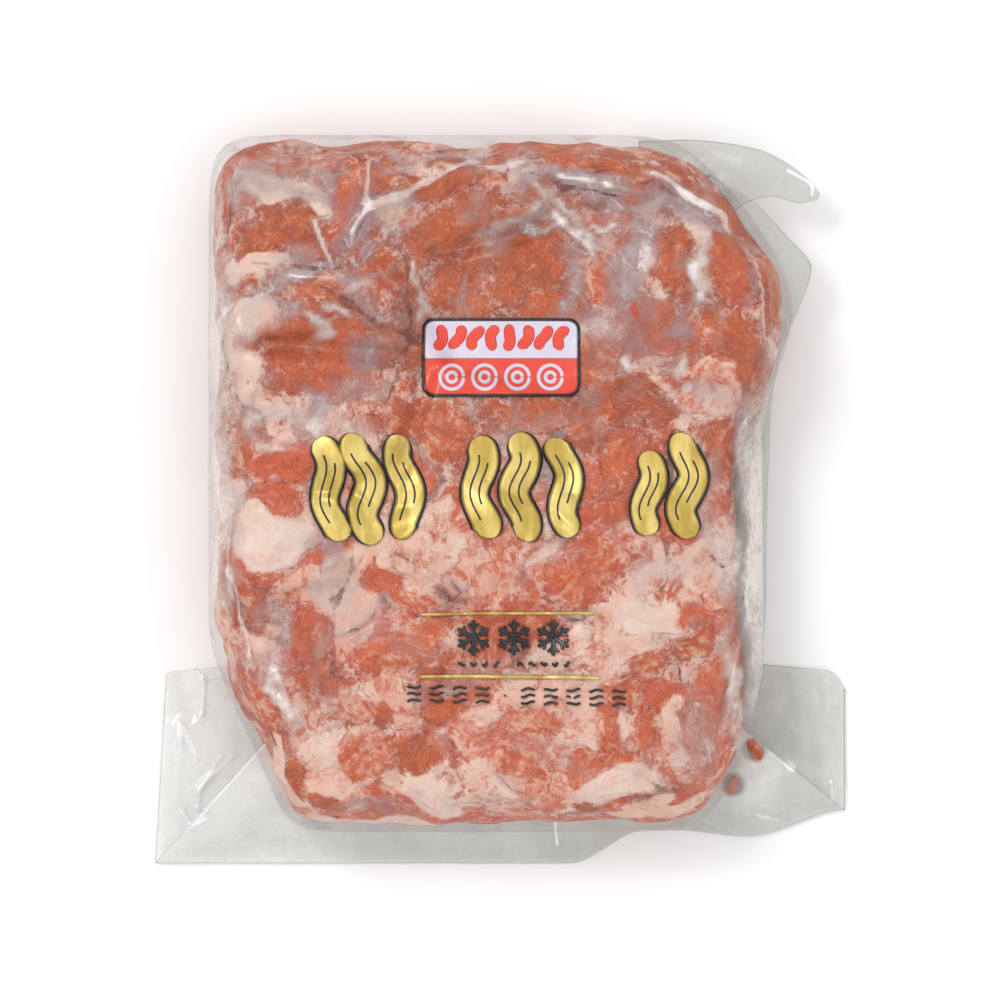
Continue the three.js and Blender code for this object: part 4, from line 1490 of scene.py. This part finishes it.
class BACONPACK_OT_label(bpy.types.Operator):
    """Prints the label: a dark border, a pale field over a red one, and plain patterns on both"""

    bl_idname = "bacon_pack.label"
    bl_label = "Label"

    def execute(self, context):
        look = settings()
        dark = ink_finish("dark_ink", look.dark_print, (0.05, 0.05, 0.05))
        pale = ink_finish("pale_ink", look.white_print, (0.72, 0.66, 0.7))
        red = ink_finish("red_ink", look.red_print, (0.75, 0.12, 0.07))
        left, right, low, middle, high = -22.3, 22.9, 29.5, 40.4, 51.9
        edge, radius, inner_radius = 0.8, 3.2, 2.6
        border = rounded_field(left, right, low, high, radius, radius, rows=50, columns=90)
        print_piece("label_border", [border], 0.06, dark)
        sides = left + edge, right - edge
        upper = rounded_field(*sides, middle, high - edge, inner_radius, 0, rows=40, columns=90)
        lower = rounded_field(*sides, low + edge, middle, 0, inner_radius, rows=40, columns=90)
        print_piece("label_pale_field", [upper], 0.16, pale)
        print_piece("label_red_field", [lower], 0.16, red)
        bar_low, bar_high = 42.9, 49.8
        bars = [
            brush_stroke(wavy_line(x - 1.2, bar_low, x + 1.0, bar_high, waves=1, size=0.6, start=x), 1.65)
            for x in np.linspace(left + 5.5, right - 5.5, 8)
        ]
        print_piece("label_red_pattern", bars, 0.3, red)
        ring_y = 35.1
        turn = np.linspace(0, 2 * math.pi, 13)
        rings = []
        for x in np.linspace(left + 8.5, right - 8.5, 4):
            for size in (3.4, 1.4):
                circle = list(zip(x + size * np.cos(turn), ring_y + size * np.sin(turn)))
                rings.append(brush_stroke(circle, 0.55))
        print_piece("label_pale_pattern", rings, 0.3, pale)
        return {"FINISHED"}


# Gold rashers of the print: start x, y, end x, y, waves, weave, half width.
RASHERS = (
    (-51.0, 18.0, -47.0, -12.0, 1.4, 1.6, 3.8),
    (-40.5, 19.0, -36.5, -12.5, 1.6, 1.8, 4.1),
    (-28.5, 18.5, -26.0, -11.0, 1.4, 1.5, 3.8),
    (-6.5, 18.0, -5.0, -11.0, 1.4, 1.6, 3.9),
    (5.5, 19.0, 6.0, -11.5, 1.6, 1.8, 4.1),
    (17.0, 18.0, 20.0, -10.5, 1.4, 1.5, 3.8),
    (43.0, 14.0, 42.0, -10.0, 1.3, 1.4, 3.6),
    (54.0, 19.0, 53.0, -11.0, 1.6, 1.7, 4.0),
)


class BACONPACK_OT_gold(bpy.types.Operator):
    """Prints the gold: three groups of wavy rashers with dark outlines, and two fine rules"""

    bl_idname = "bacon_pack.gold"
    bl_label = "Gold Print"

    def execute(self, context):
        look = settings()
        gold = gold_finish("gold_foil", look)
        dark = ink_finish("outline_ink", look.dark_print, (0.06, 0.05, 0.04))
        lines = [(wavy_line(*row[:6], start=row[0]), row[6]) for row in RASHERS]
        outlines = [brush_stroke(line, width + 0.75, swell=0.05, rows=13) for line, width in lines]
        print_piece("gold_rasher_outlines", outlines, 0.06, dark)
        rashers = [brush_stroke(line, width, swell=0.06, rows=11) for line, width in lines]
        print_piece("gold_rashers", rashers, 0.18, gold)
        streaks = []
        for line, width in lines:
            for side, first, last in ((-0.33, 2, 11), (0.33, 3, 9)):
                shifted = [(x + side * width, y) for x, y in line[first:last]]
                streaks.append(brush_stroke(shifted, 0.36, rows=5, columns=40))
        print_piece("rasher_streaks", streaks, 0.26, dark)
        left, right = -23.2, 28.9
        rules = [
            brush_stroke(wavy_line(left, -32.7, right, -32.4, waves=0.5, size=0.15), 0.38, rows=5),
            brush_stroke(wavy_line(left, -50.5, right, -50.9, waves=0.5, size=0.2), 0.5, rows=5),
        ]
        print_piece("gold_rules", rules, 0.1, gold)
        return {"FINISHED"}


class BACONPACK_OT_marks(bpy.types.Operator):
    """Prints the small dark marks: three snow crystals, a short row of dashes and three long rows"""

    bl_idname = "bacon_pack.marks"
    bl_label = "Small Print"

    def execute(self, context):
        dark = ink_finish("small_print_ink", settings().dark_print, (0.05, 0.05, 0.05))
        crystal_y, arm_length = -39.4, 5.2
        crystals = []
        for crystal_x in (-7.6, 4.0, 15.2):
            centre = np.array([crystal_x, crystal_y])
            for arm in range(6):
                angle = math.radians(60 * arm + 30)
                way = np.array([math.cos(angle), math.sin(angle)])
                across = np.array([-way[1], way[0]])
                fork = centre + way * (arm_length / 2)
                arm_line = [centre, fork, centre + way * arm_length]
                crystals.append(brush_stroke(arm_line, 0.6, rows=5, columns=16))
                for side in (-1, 1):
                    tip = fork + (way + side * across * 1.1) * 1.5
                    crystals.append(brush_stroke([fork, (fork + tip) / 2, tip], 0.45, rows=5, columns=16))
        print_piece("snow_crystals", crystals, 0.12, dark)
        gap_place = 4  # the mark that is left out of each row, or shrunk, like a space
        dashes = []
        for k in range(10):
            x = -11.0 + 3.35 * k
            if k != gap_place:
                line = wavy_line(x - 0.9, -47.2, x + 0.9, -46.8, waves=1, size=0.45, start=k)
                dashes.append(brush_stroke(line, 0.42, rows=5, columns=16))
        for k in range(10):
            x = -24.5 + 6.5 * k
            size = 0.3 if k == gap_place else 2.1
            for row in (-1, 0, 1):
                if k == gap_place and row:
                    continue
                y = -56.0 + 1.9 * row - 0.02 * x
                ends = x - size, y, x + size, y + 0.3
                line = wavy_line(*ends, waves=1, size=0.25 * size / 2, start=2 * k + row)
                dashes.append(brush_stroke(line, 0.36, rows=5, columns=16))
        print_piece("small_print", dashes, 0.12, dark)
        return {"FINISHED"}


class BACONPACK_OT_stage(bpy.types.Operator):
    """Sets the floor, the soft studio light and the camera straight above the pack"""

    bl_idname = "bacon_pack.stage"
    bl_label = "Stage"

    def execute(self, context):
        scene = context.scene
        floor_half, floor_drop = 3000.0, 0.2
        corners = np.array([(-1, -1), (1, -1), (1, 1), (-1, 1)], float) * floor_half
        points = np.column_stack([corners, np.full(4, -floor_drop)])
        floor = make_piece("floor", points, np.array([[0, 1, 2, 3]]), floor_finish("pale_floor"))
        world = bpy.data.worlds.new("studio")
        world.use_nodes = True
        sky = world.node_tree.nodes["Background"].inputs
        sky["Color"].default_value = (1.0, 1.0, 1.0, 1.0)
        sky["Strength"].default_value = 0.9
        scene.world = world
        add_light("key", (-0.9, 0.9, 1.6), size=0.6, power=13.0)
        add_light("fill", (1.1, -0.5, 1.5), size=1.2, power=5.0)
        scene.view_settings.view_transform = "Standard"
        distance = settings().view_distance
        view_width, face_height = 0.2865, 0.03
        camera = bpy.data.cameras.new("camera")
        camera.sensor_width = 36.0
        camera.lens = camera.sensor_width * distance / view_width
        body = bpy.data.objects.new("camera", camera)
        body.location = (0.0, 0.0, distance + face_height)
        scene.collection.objects.link(body)
        scene.camera = body
        return {"FINISHED"}


def add_light(name, place, size, power):
    """A square area light that faces the pack."""
    light = bpy.data.lights.new(name, "AREA")
    light.shape = "SQUARE"
    light.size = size
    light.energy = power
    lamp = bpy.data.objects.new(name, light)
    lamp.location = place
    distance = math.hypot(place[0], place[1])
    lamp.rotation_euler = (math.atan2(distance, place[2]), 0.0, math.atan2(place[0], -place[1]))
    bpy.context.scene.collection.objects.link(lamp)


class BACONPACK_PT_panel(bpy.types.Panel):
    """Lists the pack's pieces in the sidebar"""

    bl_label = "Bacon Pack"
    bl_space_type = "VIEW_3D"
    bl_region_type = "UI"
    bl_category = "Bacon Pack"

    def draw(self, context):
        for operator in OPERATORS:
            self.layout.operator(operator.bl_idname)
        for name in BaconPackSettings.__annotations__:
            self.layout.prop(context.scene.bacon_pack, name)


OPERATORS = (
    BACONPACK_OT_core,
    BACONPACK_OT_slices,
    BACONPACK_OT_scraps,
    BACONPACK_OT_film,
    BACONPACK_OT_tail,
    BACONPACK_OT_flaps,
    BACONPACK_OT_label,
    BACONPACK_OT_gold,
    BACONPACK_OT_marks,
    BACONPACK_OT_stage,
)
CLASSES = (BaconPackSettings, *OPERATORS, BACONPACK_PT_panel)


def register():
    for cls in CLASSES:
        bpy.utils.register_class(cls)
    bpy.types.Scene.bacon_pack = PointerProperty(type=BaconPackSettings)


def unregister():
    del bpy.types.Scene.bacon_pack
    for cls in reversed(CLASSES):
        bpy.utils.unregister_class(cls)


def main():
    """Makes every piece."""
    register()
    for operator in OPERATORS:
        group, call = operator.bl_idname.split(".")
        getattr(getattr(bpy.ops, group), call)()


if __name__ == "__main__":
    main()
